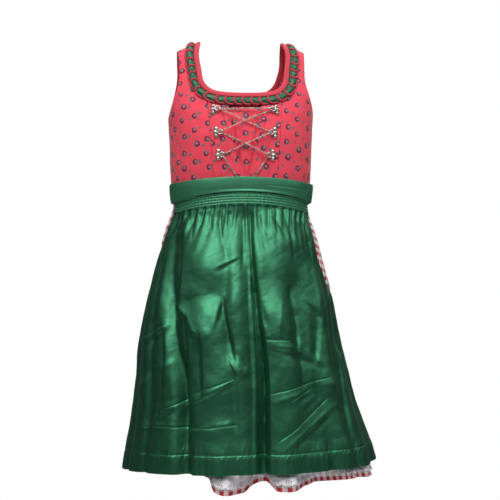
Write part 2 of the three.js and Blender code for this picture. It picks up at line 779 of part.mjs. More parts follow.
// The free ends of the ties hang on the back of the skirt from under the knot.
function tieEnd(side, length) {
  const levels = 9;
  const columns = 4;
  const grid = (out) =>
    Array.from({ length: levels + 1 }, (_, j) =>
      Array.from({ length: columns + 1 }, (__, i) => {
        const share = j / levels;
        const z = bowSizes.z - bowSizes.knotHigh / 2 - 1 - length * share;
        const centre = 180 - side * lerp(8, 13.5, share ** 0.8);
        const wide = lerp(8, 20, smooth(share, 0, 0.35));
        const scale = outlineScale(z);
        const around = centre + ((i / columns - 0.5) * 2 * wide) / scale;
        const ripple = 1.2 * Math.sin(Math.PI * (i + 3 * share));
        const clear = lerp(9, 3.2, smooth(share, 0, 0.3));
        return skirtPoint(around, z + 6 * (i / columns) * share, clear + ripple + out);
      }),
    );
  return solidFromGrids(grid(satinWall), grid(0));
}

// The neck's edge all round as places on the torso, from the centre front up over each shoulder to the back.
function neckLoop(perQuarter) {
  const bottom = along([{ x: 0, z: -89.5 }, ...neckBottom], perQuarter);
  const rise = along(frontNeck, perQuarter).slice(1);
  const back = along(backNeck, Math.round(perQuarter * 1.6), true).reverse();
  const right = [...bottom, ...rise, ...back].map((p) => ({ around: p.around, down: Math.max(p.down, 0.01) }));
  const left = right.slice(1, -1).reverse();
  const mirrored = (around) => (around > 90 ? 360 - around : -around);
  return [...right, ...left.map((p) => ({ around: mirrored(p.around), down: p.down }))];
}

// The place reached by going a distance over the torso's surface in a direction, in short steps.
function slide(place, direction, distance) {
  const steps = Math.max(1, Math.ceil(distance / 3));
  let { around, down } = place;
  for (let k = 0; k < steps; k += 1) {
    const here = torsoPoint(around, down);
    const perDegree = torsoPoint(around + 0.5, down).sub(here).multiplyScalar(2);
    const perDown = torsoPoint(around, down + 0.5).sub(here).multiplyScalar(2);
    const aa = perDegree.lengthSq();
    const dd = perDown.lengthSq();
    const ad = perDegree.dot(perDown);
    const a = (perDegree.dot(direction) * distance) / steps;
    const d = (perDown.dot(direction) * distance) / steps;
    around += (a * dd - d * ad) / (aa * dd - ad * ad);
    down = Math.max(0.01, down + (d * aa - a * ad) / (aa * dd - ad * ad));
  }
  return { around, down };
}

// Frames evenly spaced along the neck's edge, each with its direction away from the opening.
function neckFrames(count) {
  const loop = neckLoop(24);
  const points = loop.map((p) => torsoPoint(p.around, p.down));
  const lengths = [0];
  points.forEach((p, k) => lengths.push(lengths[k] + p.distanceTo(points[(k + 1) % points.length])));
  const total = lengths[points.length];
  const placeAt = (share) => {
    const goal = (((share % 1) + 1) % 1) * total;
    let k = 0;
    while (lengths[k + 1] < goal) k += 1;
    const part = (goal - lengths[k]) / (lengths[k + 1] - lengths[k]);
    const next = loop[(k + 1) % loop.length];
    return { around: lerp(loop[k].around, next.around, part), down: lerp(loop[k].down, next.down, part) };
  };
  return Array.from({ length: count }, (_, k) => {
    const place = placeAt(k / count);
    const before = placeAt(k / count - 0.004);
    const after = placeAt(k / count + 0.004);
    const out = torsoNormal(place.around, place.down);
    const tangent = torsoPoint(after.around, after.down).sub(torsoPoint(before.around, before.down));
    return { place, away: tangent.cross(out).normalize() };
  });
}

function neckPoint(frame, across, lift) {
  const { around, down } = slide(frame.place, frame.away, across);
  return torsoPoint(around, down).addScaledVector(torsoNormal(around, down), lift);
}

function neckBinding() {
  const frames = neckFrames(56);
  const grid = (lift) => [0, bindingWidth].map((across) => frames.map((f) => neckPoint(f, across, lift)));
  return solidFromGrids(grid(trimLift + bindingWall), grid(trimLift), true);
}

// The ruched trim: a soft tube that swells at each puff and draws in between.
function neckBraid() {
  const frames = neckFrames(braidPuffs * 3);
  const rings = frames.map((f, k) => {
    const swell = k % 3 === 0 ? 0.72 : 1;
    const wide = (braidWidth / 2) * lerp(0.85, 1, swell);
    const high = braidHeight * swell;
    const middle = bindingWidth + 0.4 + braidWidth / 2;
    return [
      neckPoint(f, middle - wide, trimLift),
      neckPoint(f, middle - wide * 0.7, trimLift + high * 0.75),
      neckPoint(f, middle, trimLift + high),
      neckPoint(f, middle + wide * 0.7, trimLift + high * 0.75),
      neckPoint(f, middle + wide, trimLift),
    ];
  });
  return tubeFromRings(rings, true);
}

// A place on the front given by x and z, with the directions to its right, up and out of the cloth.
function frontBasis(x, z) {
  const place = onTorso(x, z);
  const origin = torsoPoint(place.around, place.down);
  const out = torsoNormal(place.around, place.down);
  const right = torsoPoint(place.around + 0.2, place.down).sub(torsoPoint(place.around - 0.2, place.down));
  right.addScaledVector(out, -right.dot(out)).normalize();
  return { origin, right, up: out.clone().cross(right), out };
}

function toManifold(geometry) {
  const bare = geometry.index ? geometry.toNonIndexed() : geometry.clone();
  bare.deleteAttribute("normal");
  bare.deleteAttribute("uv");
  const merged = mergeVertices(bare, 1e-4);
  return new wasm.Manifold(
    new wasm.Mesh({
      numProp: 3,
      vertProperties: merged.attributes.position.array,
      triVerts: new Uint32Array(merged.index.array),
    }),
  );
}

function toGeometry(manifold) {
  const mesh = manifold.getMesh();
  const geometry = new THREE.BufferGeometry();
  geometry.setAttribute("position", new THREE.BufferAttribute(mesh.vertProperties, 3));
  geometry.setIndex(new THREE.BufferAttribute(mesh.triVerts, 1));
  geometry.computeVertexNormals();
  return geometry;
}

// A cast hook: a plate with three lobes on the cloth, and a round eye on its side towards the centre.
const hookSizes = { lobe: 2.7, spread: 4.4, outerLobe: 3.1, thick: 2.6, stalkWide: 1.8, sunk: 0.5 };

function hook(x, ringX, z, side) {
  const { lobe, spread, outerLobe, thick, stalkWide, sunk } = hookSizes;
  const reach = Math.abs(x - ringX);
  const disc = (radius, atX, atY) => {
    const plate = new THREE.CylinderGeometry(radius * 0.86, radius, thick, 9);
    return plate.rotateX(Math.PI / 2).translate(atX, atY, thick / 2 + sunk);
  };
  const ring = new THREE.TorusGeometry(ringRadius, ringWire, 5, 12).translate(-side * reach, 0, ringHeight);
  const stalkLong = reach - ringRadius + ringWire;
  const stalk = new THREE.BoxGeometry(stalkLong, stalkWide, ringHeight - sunk);
  stalk.translate((-side * stalkLong) / 2, 0, (ringHeight + sunk) / 2);
  const pieces = [disc(lobe, 0, spread), disc(lobe, 0, -spread), disc(outerLobe, side * 0.8, 0), stalk, ring];
  const solid = pieces.map(toManifold).reduce((whole, piece) => whole.add(piece));
  const basis = frontBasis(side * x, z);
  const matrix = new THREE.Matrix4().makeBasis(basis.right, basis.up, basis.out).setPosition(basis.origin);
  return { geometry: toGeometry(solid), matrix };
}

// The chain's route: from behind the band up through the six rings and down again. It goes over each ring's inner
// side, down through the ring, and on underneath; where two runs cross, one lies on the other.
function chainRoute() {
  const [top, middle, bottom] = hookRows;
  const over = ringHeight + ringWire + chainRadius + ringClearance;
  const under = ringHeight - ringWire - chainRadius - ringClearance;
  const point = (x, z, height) => {
    const basis = frontBasis(x, z);
    return basis.origin.addScaledVector(basis.out, height);
  };
  const ringPoints = (row, side, from, to) => {
    const centreX = side * row.ring;
    const aim = (target) => {
      const dx = target.x - centreX;
      const dz = target.z - row.z;
      const length = Math.hypot(dx, dz);
      return [dx / length, dz / length];
    };
    const [fx, fz] = aim(from);
    const [tx, tz] = aim(to);
    const rim = ringRadius;
    return [
      point(centreX + fx * (rim + 3.4), row.z + fz * (rim + 3.4), over - 0.2),
      point(centreX + fx * rim, row.z + fz * rim, over),
      point(centreX - (fx + tx) * 0.45, row.z - (fz + tz) * 0.45, ringHeight),
      point(centreX + tx * rim, row.z + tz * rim, under),
      point(centreX + tx * (rim + 3.4), row.z + tz * (rim + 3.4), under + 0.1),
    ];
  };
  const ends = { left: { x: -14, z: -219 }, right: { x: 15, z: -219 } };
  const crossing = { high: 4.4, low: 1.5 };
  const rl = (row, side) => ({ x: side * row.ring, z: row.z });
  const route = [
    point(ends.left.x + 3.5, ends.left.z - 6, 1.5),
    point(ends.left.x, ends.left.z, 1.6),
    point(ends.left.x - 3.5, ends.left.z + 6, 1.7),
    ...ringPoints(bottom, -1, ends.left, rl(middle, 1)),
    point(0, (middle.z + bottom.z) / 2, crossing.low),
    ...ringPoints(middle, 1, rl(bottom, -1), rl(top, -1)),
    point(0, (middle.z + top.z) / 2, crossing.low),
    ...ringPoints(top, -1, rl(middle, 1), rl(top, 1)),
    point(0, top.z + 0.6, 2.2),
    ...ringPoints(top, 1, rl(top, -1), rl(middle, -1)),
    point(0, (middle.z + top.z) / 2, crossing.high),
    ...ringPoints(middle, -1, rl(top, 1), rl(bottom, 1)),
    point(0, (middle.z + bottom.z) / 2, crossing.high),
    ...ringPoints(bottom, 1, rl(middle, -1), ends.right),
    point(ends.right.x + 3.5, ends.right.z + 6, 1.7),
    point(ends.right.x, ends.right.z, 1.6),
    point(ends.right.x - 3.5, ends.right.z - 6, 1.5),
  ];
  return new THREE.CatmullRomCurve3(route, false, "centripetal");
}

function chain() {
  const section = new THREE.Shape();
  section.absarc(0, 0, chainRadius, 0, 2 * Math.PI, false);
  const geometry = new THREE.ExtrudeGeometry(section, {
    extrudePath: chainRoute(),
    steps: 88,
    curveSegments: 3,
    bevelEnabled: false,
  });
  geometry.deleteAttribute("normal");
  geometry.deleteAttribute("uv");
  const merged = mergeVertices(geometry, 1e-4);
  return facingOut([...merged.attributes.position.array], [...merged.index.array]);
}

const materialOf = {
  printed: new THREE.MeshStandardMaterial({ color: colours.printedCotton, roughness: 0.85 }),
  plain: new THREE.MeshStandardMaterial({ color: colours.plainCotton, roughness: 0.85 }),
  satin: new THREE.MeshStandardMaterial({ color: colours.satin, roughness: 0.4 }),
  gingham: new THREE.MeshStandardMaterial({ color: colours.gingham, roughness: 0.85 }),
  lace: new THREE.MeshStandardMaterial({ color: colours.lace, roughness: 0.9 }),
  metal: new THREE.MeshStandardMaterial({ color: colours.metal, roughness: 0.4, metalness: 1 }),
};

const dirndl = new THREE.Group();

function add(name, geometry, material, matrix) {
  const mesh = new THREE.Mesh(geometry, materialOf[material]);
  mesh.name = name;
  if (matrix) {
    matrix.decompose(mesh.position, mesh.quaternion, mesh.scale);
  }
  dirndl.add(mesh);
}

function addBodice() {
  const bothSides = [
    { side: "left", isMirrored: true },
    { side: "right", isMirrored: false },
  ];
  for (const { side, isMirrored } of bothSides) {
    add(`bodice_side_front_${side}`, panel(sideFrontPlaces(), ["left", "right", "top"], 0, isMirrored), "printed");
    add(`bodice_centre_front_${side}`, panel(centreFrontPlaces(), ["left"], 0, isMirrored), "printed");
    add(`bodice_back_${side}`, panel(backPlaces(), ["left", "right", "top"], 0, isMirrored), "printed");
  }
  add("bodice_insert", panel(insertPlaces(), [], -cottonWall - seamGap), "printed");
  add("neck_binding", neckBinding(), "plain");
  add("neck_braid", neckBraid(), "satin");
}

function addFastening() {
  for (const { name, x, ring, z } of hookRows)
    for (const [label, side] of [
      ["left", -1],
      ["right", 1],
    ]) {
      const { geometry, matrix } = hook(x, ring, z, side);
      add(`hook_${name}_${label}`, geometry, "metal", matrix);
    }
  add("lacing_chain", chain(), "metal");
}

function addSkirt() {
  const quarter = stationCount / 4;
  add("skirt_front", skirtHalf(quarter, 3 * quarter), "gingham");
  add("skirt_back", skirtHalf(3 * quarter, 5 * quarter), "gingham");
  add("lace_front", laceHalf(quarter, 3 * quarter), "lace");
  add("lace_back", laceHalf(3 * quarter, 5 * quarter), "lace");
}

function addApron() {
  const { left, right } = apronEdges[7];
  add("apron_skirt", apronSkirt(), "satin");
  add("apron_shirring", apronShirring(), "satin");
  add("apron_waistband", waistStrip(left, right, 28, bandLift, bandHeight), "satin");
  add("tie_right", waistStrip(right + 0.3, 179.6, 14, 1.2, tieHeight), "satin");
  add("tie_left", waistStrip(left - 0.3, -179.6, 14, 1.2, tieHeight), "satin");
  add("bow_knot", bowKnot(), "satin");
  add("bow_loop_right", bowLoop(1), "satin");
  add("bow_loop_left", bowLoop(-1), "satin");
  add("tie_end_right", tieEnd(1, 255), "satin");
  add("tie_end_left", tieEnd(-1, 270), "satin");
}

addBodice();
addFastening();
addSkirt();
addApron();

export default dirndl;
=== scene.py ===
import json
import math
import bpy
import numpy as np
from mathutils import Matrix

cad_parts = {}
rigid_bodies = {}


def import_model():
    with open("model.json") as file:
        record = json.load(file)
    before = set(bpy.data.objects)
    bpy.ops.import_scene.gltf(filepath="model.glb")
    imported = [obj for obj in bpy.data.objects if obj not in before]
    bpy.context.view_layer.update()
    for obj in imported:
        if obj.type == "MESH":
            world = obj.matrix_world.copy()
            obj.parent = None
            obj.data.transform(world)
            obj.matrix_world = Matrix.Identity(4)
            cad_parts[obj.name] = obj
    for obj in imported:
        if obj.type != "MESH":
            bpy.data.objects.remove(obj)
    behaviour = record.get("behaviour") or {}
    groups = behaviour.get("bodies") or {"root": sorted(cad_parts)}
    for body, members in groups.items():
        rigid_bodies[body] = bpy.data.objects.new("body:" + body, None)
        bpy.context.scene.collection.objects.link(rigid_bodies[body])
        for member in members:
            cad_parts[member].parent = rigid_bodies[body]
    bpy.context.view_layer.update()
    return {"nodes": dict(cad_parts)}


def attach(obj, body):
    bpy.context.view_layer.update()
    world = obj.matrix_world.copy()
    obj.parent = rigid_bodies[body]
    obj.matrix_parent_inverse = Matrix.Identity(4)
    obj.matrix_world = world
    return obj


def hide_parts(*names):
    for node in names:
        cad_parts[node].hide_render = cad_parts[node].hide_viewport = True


# A child's dirndl as it is worn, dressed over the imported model. The shapes are worked out in millimetres on
# the same surfaces as the solids. A place is around, in degrees from the centre front, + towards +X, and down
# from the shoulder line or z.
for leftover in list(bpy.data.objects):
    bpy.data.objects.remove(leftover)
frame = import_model()
scene = bpy.context.scene
print("frame loaded,", len(frame["nodes"]), "nodes")

# The worn bodice's sections from the shoulder line down: down, z, half width, front, back, squareness.
torsoRows = np.array([
    [-12, -2.6, 118, -11.6, -11.6, 3.0],
    [0, 0, 118, 0, 0, 3.0],
    [12, -2.6, 118, 11.6, 11.6, 3.0],
    [26, -10, 118, 23, 24, 3.0],
    [45, -26, 118, 33, 37, 3.0],
    [75, -53, 117, 45, 52, 2.9],
    [105, -80, 117, 58, 64, 2.8],
    [130, -102, 116.5, 69, 71, 2.65],
    [155, -125, 115.5, 78, 75, 2.5],
    [190, -160, 113.5, 84, 76, 2.4],
    [230, -200, 112.5, 82, 71, 2.4],
    [270, -240, 110, 79, 67, 2.3],
    [295, -265, 107, 78, 66, 2.3],
])

# The widest outline of the skirt and apron: z, left, right, front, back, squareness.
skirtRows = np.array([
    [-700, 190, 226, 172, 171, 2.1],
    [-683, 189, 222, 171, 170, 2.1],
    [-643, 184, 211, 168, 167, 2.1],
    [-605, 177, 197, 164, 162, 2.1],
    [-566, 171, 183, 159, 157, 2.1],
    [-528, 167, 174, 154, 152, 2.1],
    [-490, 165, 164, 148, 146, 2.1],
    [-451, 158, 156, 141, 139, 2.1],
    [-413, 150, 149, 132, 130, 2.15],
    [-375, 141, 139, 121, 119, 2.15],
    [-336, 130, 129, 108, 105, 2.2],
    [-300, 121, 119, 94, 88, 2.2],
    [-280, 113, 111, 85, 76, 2.3],
    [-262, 108, 108, 81, 69, 2.3],
    [-232, 111, 111, 81, 69, 2.3],
])

waist = {"front": -231, "sideDrop": 14, "gap": 0.3}
torsoEnd = 295.0
cottonWall = 1.6
satinWall = 1.4
panelGap = 0.12
# The camera, to put creases by their places in the picture: its turn, its way off and the point that it faces
# in millimetres, millimetres to the pixel there, and the picture's middle.
view = {"turn": 6, "away": 2200, "across": 15.2, "z": -332.8, "perPixel": 1.6, "middle": 250}


# The columns of a table at any places between its rows, by cubic pieces that never pass the rows' values.
def rowsAt(table, at):
    table = np.asarray(table, float)
    if table[0, 0] > table[-1, 0]:
        table = table[::-1]
    keys, values = table[:, 0], table[:, 1:]
    steps = np.diff(keys)[:, None]
    slopes = np.diff(values, axis=0) / steps
    before, after = slopes[:-1], slopes[1:]
    agree = before * after > 0
    inner = np.where(agree, 2 * before * after / np.where(agree, before + after, 1), 0)
    tangents = np.vstack([slopes[:1], inner, slopes[-1:]])
    place = np.clip(np.asarray(at, float), keys[0], keys[-1])
    k = np.clip(np.searchsorted(keys, place) - 1, 0, len(keys) - 2)
    s = ((place - keys[k]) / steps[k, 0])[..., None]
    rise = steps[k]
    ease = 3 * s**2 - 2 * s**3
    return ((1 - ease) * values[k] + ease * values[k + 1]
            + (s**3 - 2 * s**2 + s) * tangents[k] * rise + (s**3 - s**2) * tangents[k + 1] * rise)


# 0 below low, 1 above high, eased between.
def smooth(value, low, high):
    share = np.clip((np.asarray(value, float) - low) / (high - low), 0, 1)
    return share * share * (3 - 2 * share)


def mix(a, b, share):
    return a + (b - a) * share


def wrappedTurn(around):
    return np.where(around > 180, around - 360, np.where(around < -180, around + 360, around))


def unit(vectors):
    return vectors / np.maximum(np.linalg.norm(vectors, axis=-1, keepdims=True), 1e-9)


def lengthsAlong(line):
    return np.concatenate([[0], np.cumsum(np.linalg.norm(np.diff(line, axis=0), axis=1))])


# Even shares for a grid: down its rows, or along its columns.
def rowShares(count, start=0, end=1):
    return np.linspace(start, end, count)[:, None]


def columnShares(count, start=0, end=1):
    return np.linspace(start, end, count)[None, :]


# Even angles once round, in radians.
def fullTurn(count):
    return np.arange(count) * 2 * math.pi / count


# The numbers of each cell of a grid along its axes, and the rows and columns of a cell's four corners.
def cellsOf(*counts):
    return (m.ravel() for m in np.meshgrid(*(np.arange(count) for count in counts), indexing="ij"))


def cornersOf(j, i):
    return [(j, i), (j, i + 1), (j + 1, i + 1), (j + 1, i)]


# Two grids joined to one of uv places.
def paired(u, v):
    return np.stack(np.broadcast_arrays(u, v), -1)


# Where a point is seen from the front, in the picture's own 500 x 500 places.
def seenAt(points):
    turn = math.radians(view["turn"])
    across = points[..., 0] * math.cos(turn) - points[..., 1] * math.sin(turn)
    back = points[..., 0] * math.sin(turn) + points[..., 1] * math.cos(turn)
    scale = view["away"] / (view["away"] + back) / view["perPixel"]
    return (view["middle"] + (across - view["across"]) * scale,
            view["middle"] - (points[..., 2] - view["z"]) * scale)


# x and y of a rounded section: x = sin * reach * side, y = -cos * reach * depth, reach by the section's
# power: the shares of side and depth, each raised to it, add up to 1.
def sectionPoint(around, left, right, front, back, square):
    side, ahead = np.sin(np.radians(around)), np.cos(np.radians(around))
    reach = (np.abs(side)**square + np.abs(ahead)**square)**(-1 / square)
    return side * reach * np.where(side > 0, right, left), -ahead * reach * np.where(ahead > 0, front, back)


def shoulderDrop(x, down):
    return -0.36 * np.maximum(0, np.abs(x) - 58) * (1 - smooth(down, 10, 150))


def torsoBase(around, down):
    around, down = np.broadcast_arrays(np.asarray(around, float), np.asarray(down, float))
    z, half, front, back, square = np.moveaxis(rowsAt(torsoRows, down), -1, 0)
    x, y = sectionPoint(around, half, half, front, back, square)
    return np.stack([x, y, z + shoulderDrop(x, down)], -1)


def torsoNormal(around, down):
    down = np.maximum(down, 0.3)
    across = torsoBase(around + 0.2, down) - torsoBase(around - 0.2, down)
    up = torsoBase(around, down - 0.25) - torsoBase(around, down + 0.25)
    return unit(np.cross(across, up))


def torsoPoint(around, down, lift=0.0):
    lift = np.broadcast_to(np.asarray(lift, float), np.broadcast(around, down).shape)
    return torsoBase(around, down) + torsoNormal(around, down) * lift[..., None]


# How far down the torso a height that falls with it comes to z, by halving.
def downTo(heightAt, z):
    low, high = np.zeros(z.shape), np.full(z.shape, torsoEnd)
    for _ in range(40):
        middle = (low + high) / 2
        above = heightAt(middle) > z
        low, high = np.where(above, middle, low), np.where(above, high, middle)
    return low


# The place on the torso's front or back with this x and z.
def onTorso(x, z, isBack=False):
    x, z = np.asarray(x, float), np.asarray(z, float)
    low = downTo(lambda down: rowsAt(torsoRows, down)[..., 0] + shoulderDrop(x, down), z)
    row = rowsAt(torsoRows, low)
    half, square = row[..., 1], row[..., 4]
    share = np.minimum(0.9999, np.abs(x) / half)**square
    turn = np.degrees(np.arctan((share / (1 - share))**(1 / square)))
    sign = np.where(x < 0, -1, 1)
    return (180 - turn if isBack else turn) * sign, low


def atHeight(around, z):
    around, z = np.broadcast_arrays(np.asarray(around, float), np.asarray(z, float))
    return downTo(lambda down: torsoBase(around, down)[..., 2], z)


# The cubic from one point to the next with a tangent at each, at a share w of the way.
def cubicBetween(here, there, leaving, coming, w):
    return ((2 * here - 2 * there + leaving + coming) * w**3
            + (-3 * here + 3 * there - 2 * leaving - coming) * w**2 + leaving * w + here)


# Even steps along a uniform Catmull-Rom curve through the places of an edge.
def alongEdge(places, count):
    places = np.asarray(places, float)
    last = len(places) - 1
    p = np.linspace(0, last, count + 1)
    k = np.minimum(p.astype(int), last - 1)
    w = (p - k)[:, None]
    p0, p1 = places[np.maximum(k - 1, 0)], places[k]
    p2, p3 = places[k + 1], places[np.minimum(k + 2, last)]
    v0, v1 = (p2 - p0) / 2, (p3 - p1) / 2
    return cubicBetween(p1, p2, v0, v1, w)


def edgeByX(points, count, isBack=False):
    points = np.asarray(points, float)
    return alongEdge(np.stack(onTorso(points[:, 0], points[:, 1], isBack), -1), count)


def edgeByAround(points, count):
    points = np.asarray(points, float)
    return alongEdge(np.stack([points[:, 0], atHeight(points[:, 0], points[:, 1])], -1), count)


def waistHeight(around):
    turned = np.minimum(np.abs(around), 90)
    return waist["front"] - waist["sideDrop"] * np.sin(np.radians(turned))**2


def waistEdge(start, end, count):
    around = np.linspace(start, end, count + 1)
    return np.stack([around, atHeight(around, waistHeight(around) + waist["gap"])], -1)


# A grid filled in from its four edges, each an array of places.
def fillGrid(left, right, bottom, top):
    a = np.linspace(0, 1, len(bottom))[None, :, None]
    b = np.linspace(0, 1, len(left))[:, None, None]
    corners = (1 - a) * ((1 - b) * bottom[0] + b * top[0]) + a * ((1 - b) * bottom[-1] + b * top[-1])
    return (1 - a) * left[:, None] + a * right[:, None] + (1 - b) * bottom[None] + b * top[None] - corners


# Creases as a height over x and y: each is a line from one place to another with a half width and a depth,
# strongest in its middle and gone at its ends. Soft ones are rounded across, sharp ones come to a cusp.
def creaseField(x, y, creases, sharp=False):
    total = np.zeros(np.broadcast(x, y).shape)
    for x0, y0, x1, y1, width, depth in creases:
        dx, dy = x1 - x0, y1 - y0
        length = math.hypot(dx, dy)
        s = ((x - x0) * dx + (y - y0) * dy) / length
        off = ((x - x0) * dy - (y - y0) * dx) / length
        ends = smooth(s, -0.12 * length, 0.25 * length) * (1 - smooth(s, 0.75 * length, 1.12 * length))
        profile = np.exp(0.3 - np.hypot(off / width, 0.3)) if sharp else np.exp(-(off / width)**2)
        total = total + depth * ends * profile
    return total


# Soft dents and swellings as a height: each is x, y, half width, half height, turn in degrees and depth.
def dentField(x, y, dents):
    total = np.zeros(np.broadcast(x, y).shape)
    for cx, cy, wide, high, turn, depth in dents:
        c, s = math.cos(math.radians(turn)), math.sin(math.radians(turn))
        u, v = (x - cx) * c + (y - cy) * s, (y - cy) * c - (x - cx) * s
        total = total + depth * np.exp(-(u / wide)**2 - (v / high)**2)
    return total


# Pleats that fall in slowly from their left edge and come back at once at their right one: each is rows of
# left edge, right edge, y and depth.
def pleatField(x, y, pleats):
    total = 0
    for rows in pleats:
        table = [[at, left, right, deep] for left, right, at, deep in rows]
        begin, end, depth = np.moveaxis(rowsAt(table, y), -1, 0)
        back = 1 - smooth(x - end, 0, 2 + 0.1 * (end - begin))
        total = total + depth * np.clip((x - begin) / (end - begin), 0, 1) * back
    return total


# The direction, phase and stretch of each of a few waves, drawn by chance.
def drawnWaves(seed, count, least, most):
    chance = np.random.default_rng(seed)
    return zip(chance.uniform(0, math.pi, count), chance.uniform(0, 6.28, count),
               chance.uniform(least, most, count))


# Crumpled cloth: folded waves in set directions, bent by slower ones, give sharp valleys between soft facets.
def crumple(u, v, pitch, seed):
    total = 0
    for turn, phase, stretch in drawnWaves(seed, 5, 0.6, 1.6):
        bend = 1.6 * softWaves(u, v, pitch * 2.6, int(seed + phase * 100))
        place = (u * math.cos(turn) + v * math.sin(turn)) * math.pi * stretch / pitch + phase + bend
        total = total + np.sqrt(np.sin(place)**2 + 0.02) / stretch
    return total / 5 - 0.62


# Smooth uneven waves: a sum of a few sines of both coordinates with set directions.
def softWaves(u, v, pitch, seed):
    total = 0
    for turn, phase, stretch in drawnWaves(seed, 6, 0.7, 1.5):
        place = (u * math.cos(turn) + v * math.sin(turn)) * 2 * math.pi * stretch / pitch
        total = total + np.sin(place + phase)
    return total / 6


# A mesh object from points in millimetres, faces, and one uv for each corner of each face.
def meshPiece(name, points, faces, corners, material):
    a, b, c, d = (points[faces[:, k]] for k in range(4))
    if np.sum(a * np.cross(b, c)) + np.sum(a * np.cross(c, d)) < 0:
        faces, corners = faces[:, ::-1], corners[:, ::-1]
    mesh = bpy.data.meshes.new(name)
    mesh.vertices.add(len(points))
    mesh.vertices.foreach_set("co", (points / 1000).astype(np.float32).ravel())
    mesh.loops.add(faces.size)
    mesh.loops.foreach_set("vertex_index", faces.astype(np.int32).ravel())
    mesh.polygons.add(len(faces))
    mesh.polygons.foreach_set("loop_start", np.arange(0, faces.size, 4, dtype=np.int32))
    mesh.update(calc_edges=True)
    mesh.validate()
    mesh.polygons.foreach_set("use_smooth", np.ones(len(mesh.polygons), dtype=bool))
    layer = mesh.uv_layers.new(name="cloth")
    if len(mesh.loops) == corners.shape[0] * 4:
        layer.data.foreach_set("uv", corners.astype(np.float32).ravel())
    mesh.materials.append(material)
    piece = bpy.data.objects.new(name, mesh)
    scene.collection.objects.link(piece)
    return piece


# A thin closed shell from its outer and inner grid, with rims between.
def shellPiece(name, outer, inner, uv, material):
    rows, columns = outer.shape[:2]
    j, i = cellsOf(rows - 1, columns - 1)
    across, along = np.arange(columns - 1), np.arange(rows - 1)
    low, top = 0 * across, 0 * across + rows - 1
    start, end = 0 * along, 0 * along + columns - 1
    quads = [
        [(0, j, i), (0, j, i + 1), (0, j + 1, i + 1), (0, j + 1, i)],
        [(1, j, i), (1, j + 1, i), (1, j + 1, i + 1), (1, j, i + 1)],
        [(0, low, across + 1), (0, low, across), (1, low, across), (1, low, across + 1)],
        [(0, top, across), (0, top, across + 1), (1, top, across + 1), (1, top, across)],
        [(0, along, start), (0, along + 1, start), (1, along + 1, start), (1, along, start)],
        [(0, along + 1, end), (0, along, end), (1, along, end), (1, along + 1, end)],
    ]
    faces = np.concatenate([np.stack([(side * rows + jj) * columns + ii for side, jj, ii in quad], -1)
                            for quad in quads])
    corners = np.concatenate([np.stack([uv[jj, ii] for _, jj, ii in quad], 1) for quad in quads])
    points = np.concatenate([outer.reshape(-1, 3), inner.reshape(-1, 3)])
    return meshPiece(name, points, faces, corners, material)


# A closed tube from rings of points; it closes on itself or its ends are drawn together.
def tubePiece(name, rings, uv, material, isLoop=False):
    count, sides = rings.shape[:2]
    spans = count if isLoop else count - 1
    quad = cornersOf(*cellsOf(spans, sides))
    faces = np.stack([(kk % count) * sides + ii % sides for kk, ii in quad], -1)
    corners = np.stack([uv[kk, ii] for kk, ii in quad], 1)
    return meshPiece(name, rings.reshape(-1, 3), faces, corners, material)


# Many copies of one small quad mesh, each with its own axes and place, as one piece.
def scatterPiece(name, shape, faces, places, axes, material):
    points = places[:, None, :] + np.einsum("vk,nkc->nvc", shape, axes)
    count = len(shape)
    allFaces = (faces[None] + (np.arange(len(places)) * count)[:, None, None]).reshape(-1, 4)
    uv = np.tile(shape[:, :2], (len(places), 1)) + np.repeat(np.arange(len(places)) * 3.7, count)[:, None]
    return meshPiece(name, points.reshape(-1, 3), allFaces, uv[allFaces], material)


def softEdges(piece, width):
    bevel = piece.modifiers.new("rim", "BEVEL")
    bevel.width = width / 1000
    bevel.segments = 2
    bevel.limit_method = "ANGLE"
    bevel.angle_limit = math.radians(62)
    bevel.harden_normals = False


def dress(piece, nodes=()):
    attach(piece, "root")
    if nodes:
        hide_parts(*nodes)


# A sheet of cloth: a shell with softened rims, attached to the root body and in place of its nodes.
def clothPiece(name, grids, uv, material, rim, nodes):
    piece = shellPiece(name, *grids, uv, material)
    softEdges(piece, rim)
    dress(piece, nodes)
    return piece


# Distances over a grid from its left, right, bottom and top edge.
def edgeDistances(points):
    across = np.linalg.norm(np.diff(points, axis=1), axis=2)
    up = np.linalg.norm(np.diff(points, axis=0), axis=2)
    left = np.concatenate([np.zeros((len(points), 1)), np.cumsum(across, 1)], 1)
    bottom = np.concatenate([np.zeros((1, points.shape[1])), np.cumsum(up, 0)], 0)
    return left, left[:, -1:] - left, bottom, bottom[-1:] - bottom


# Draws the edges of a grid back a little, so that neighbouring panels part.
def trimmed(points, gap):
    points = points.copy()
    points[:, 0] += unit(points[:, 1] - points[:, 0]) * gap
    points[:, -1] += unit(points[:, -2] - points[:, -1]) * gap
    return points


# Lengths over the torso from the centre front, for the cloth's own measure around.
arcDowns = np.arange(0, 300, 5.0)
arcTurns = np.arange(-190, 191, 1.0)
arcSpots = torsoBase(arcTurns[None, :], np.maximum(arcDowns, 0.3)[:, None])
arcSteps = np.linalg.norm(np.diff(arcSpots, axis=1), axis=2)
arcLengths = np.concatenate([np.zeros((len(arcDowns), 1)), np.cumsum(arcSteps, 1)], 1)
arcLengths -= arcLengths[:, 190:191]


def torsoUv(around, down):
    r = np.clip(down / 5, 0, len(arcDowns) - 1.001)
    c = np.clip(around + 190, 0, len(arcTurns) - 1.001)
    r0, c0 = r.astype(int), c.astype(int)
    rs, cs = r - r0, c - c0
    u = ((1 - rs) * ((1 - cs) * arcLengths[r0, c0] + cs * arcLengths[r0, c0 + 1])
         + rs * ((1 - cs) * arcLengths[r0 + 1, c0] + cs * arcLengths[r0 + 1, c0 + 1]))
    return np.stack([u, -down], -1)


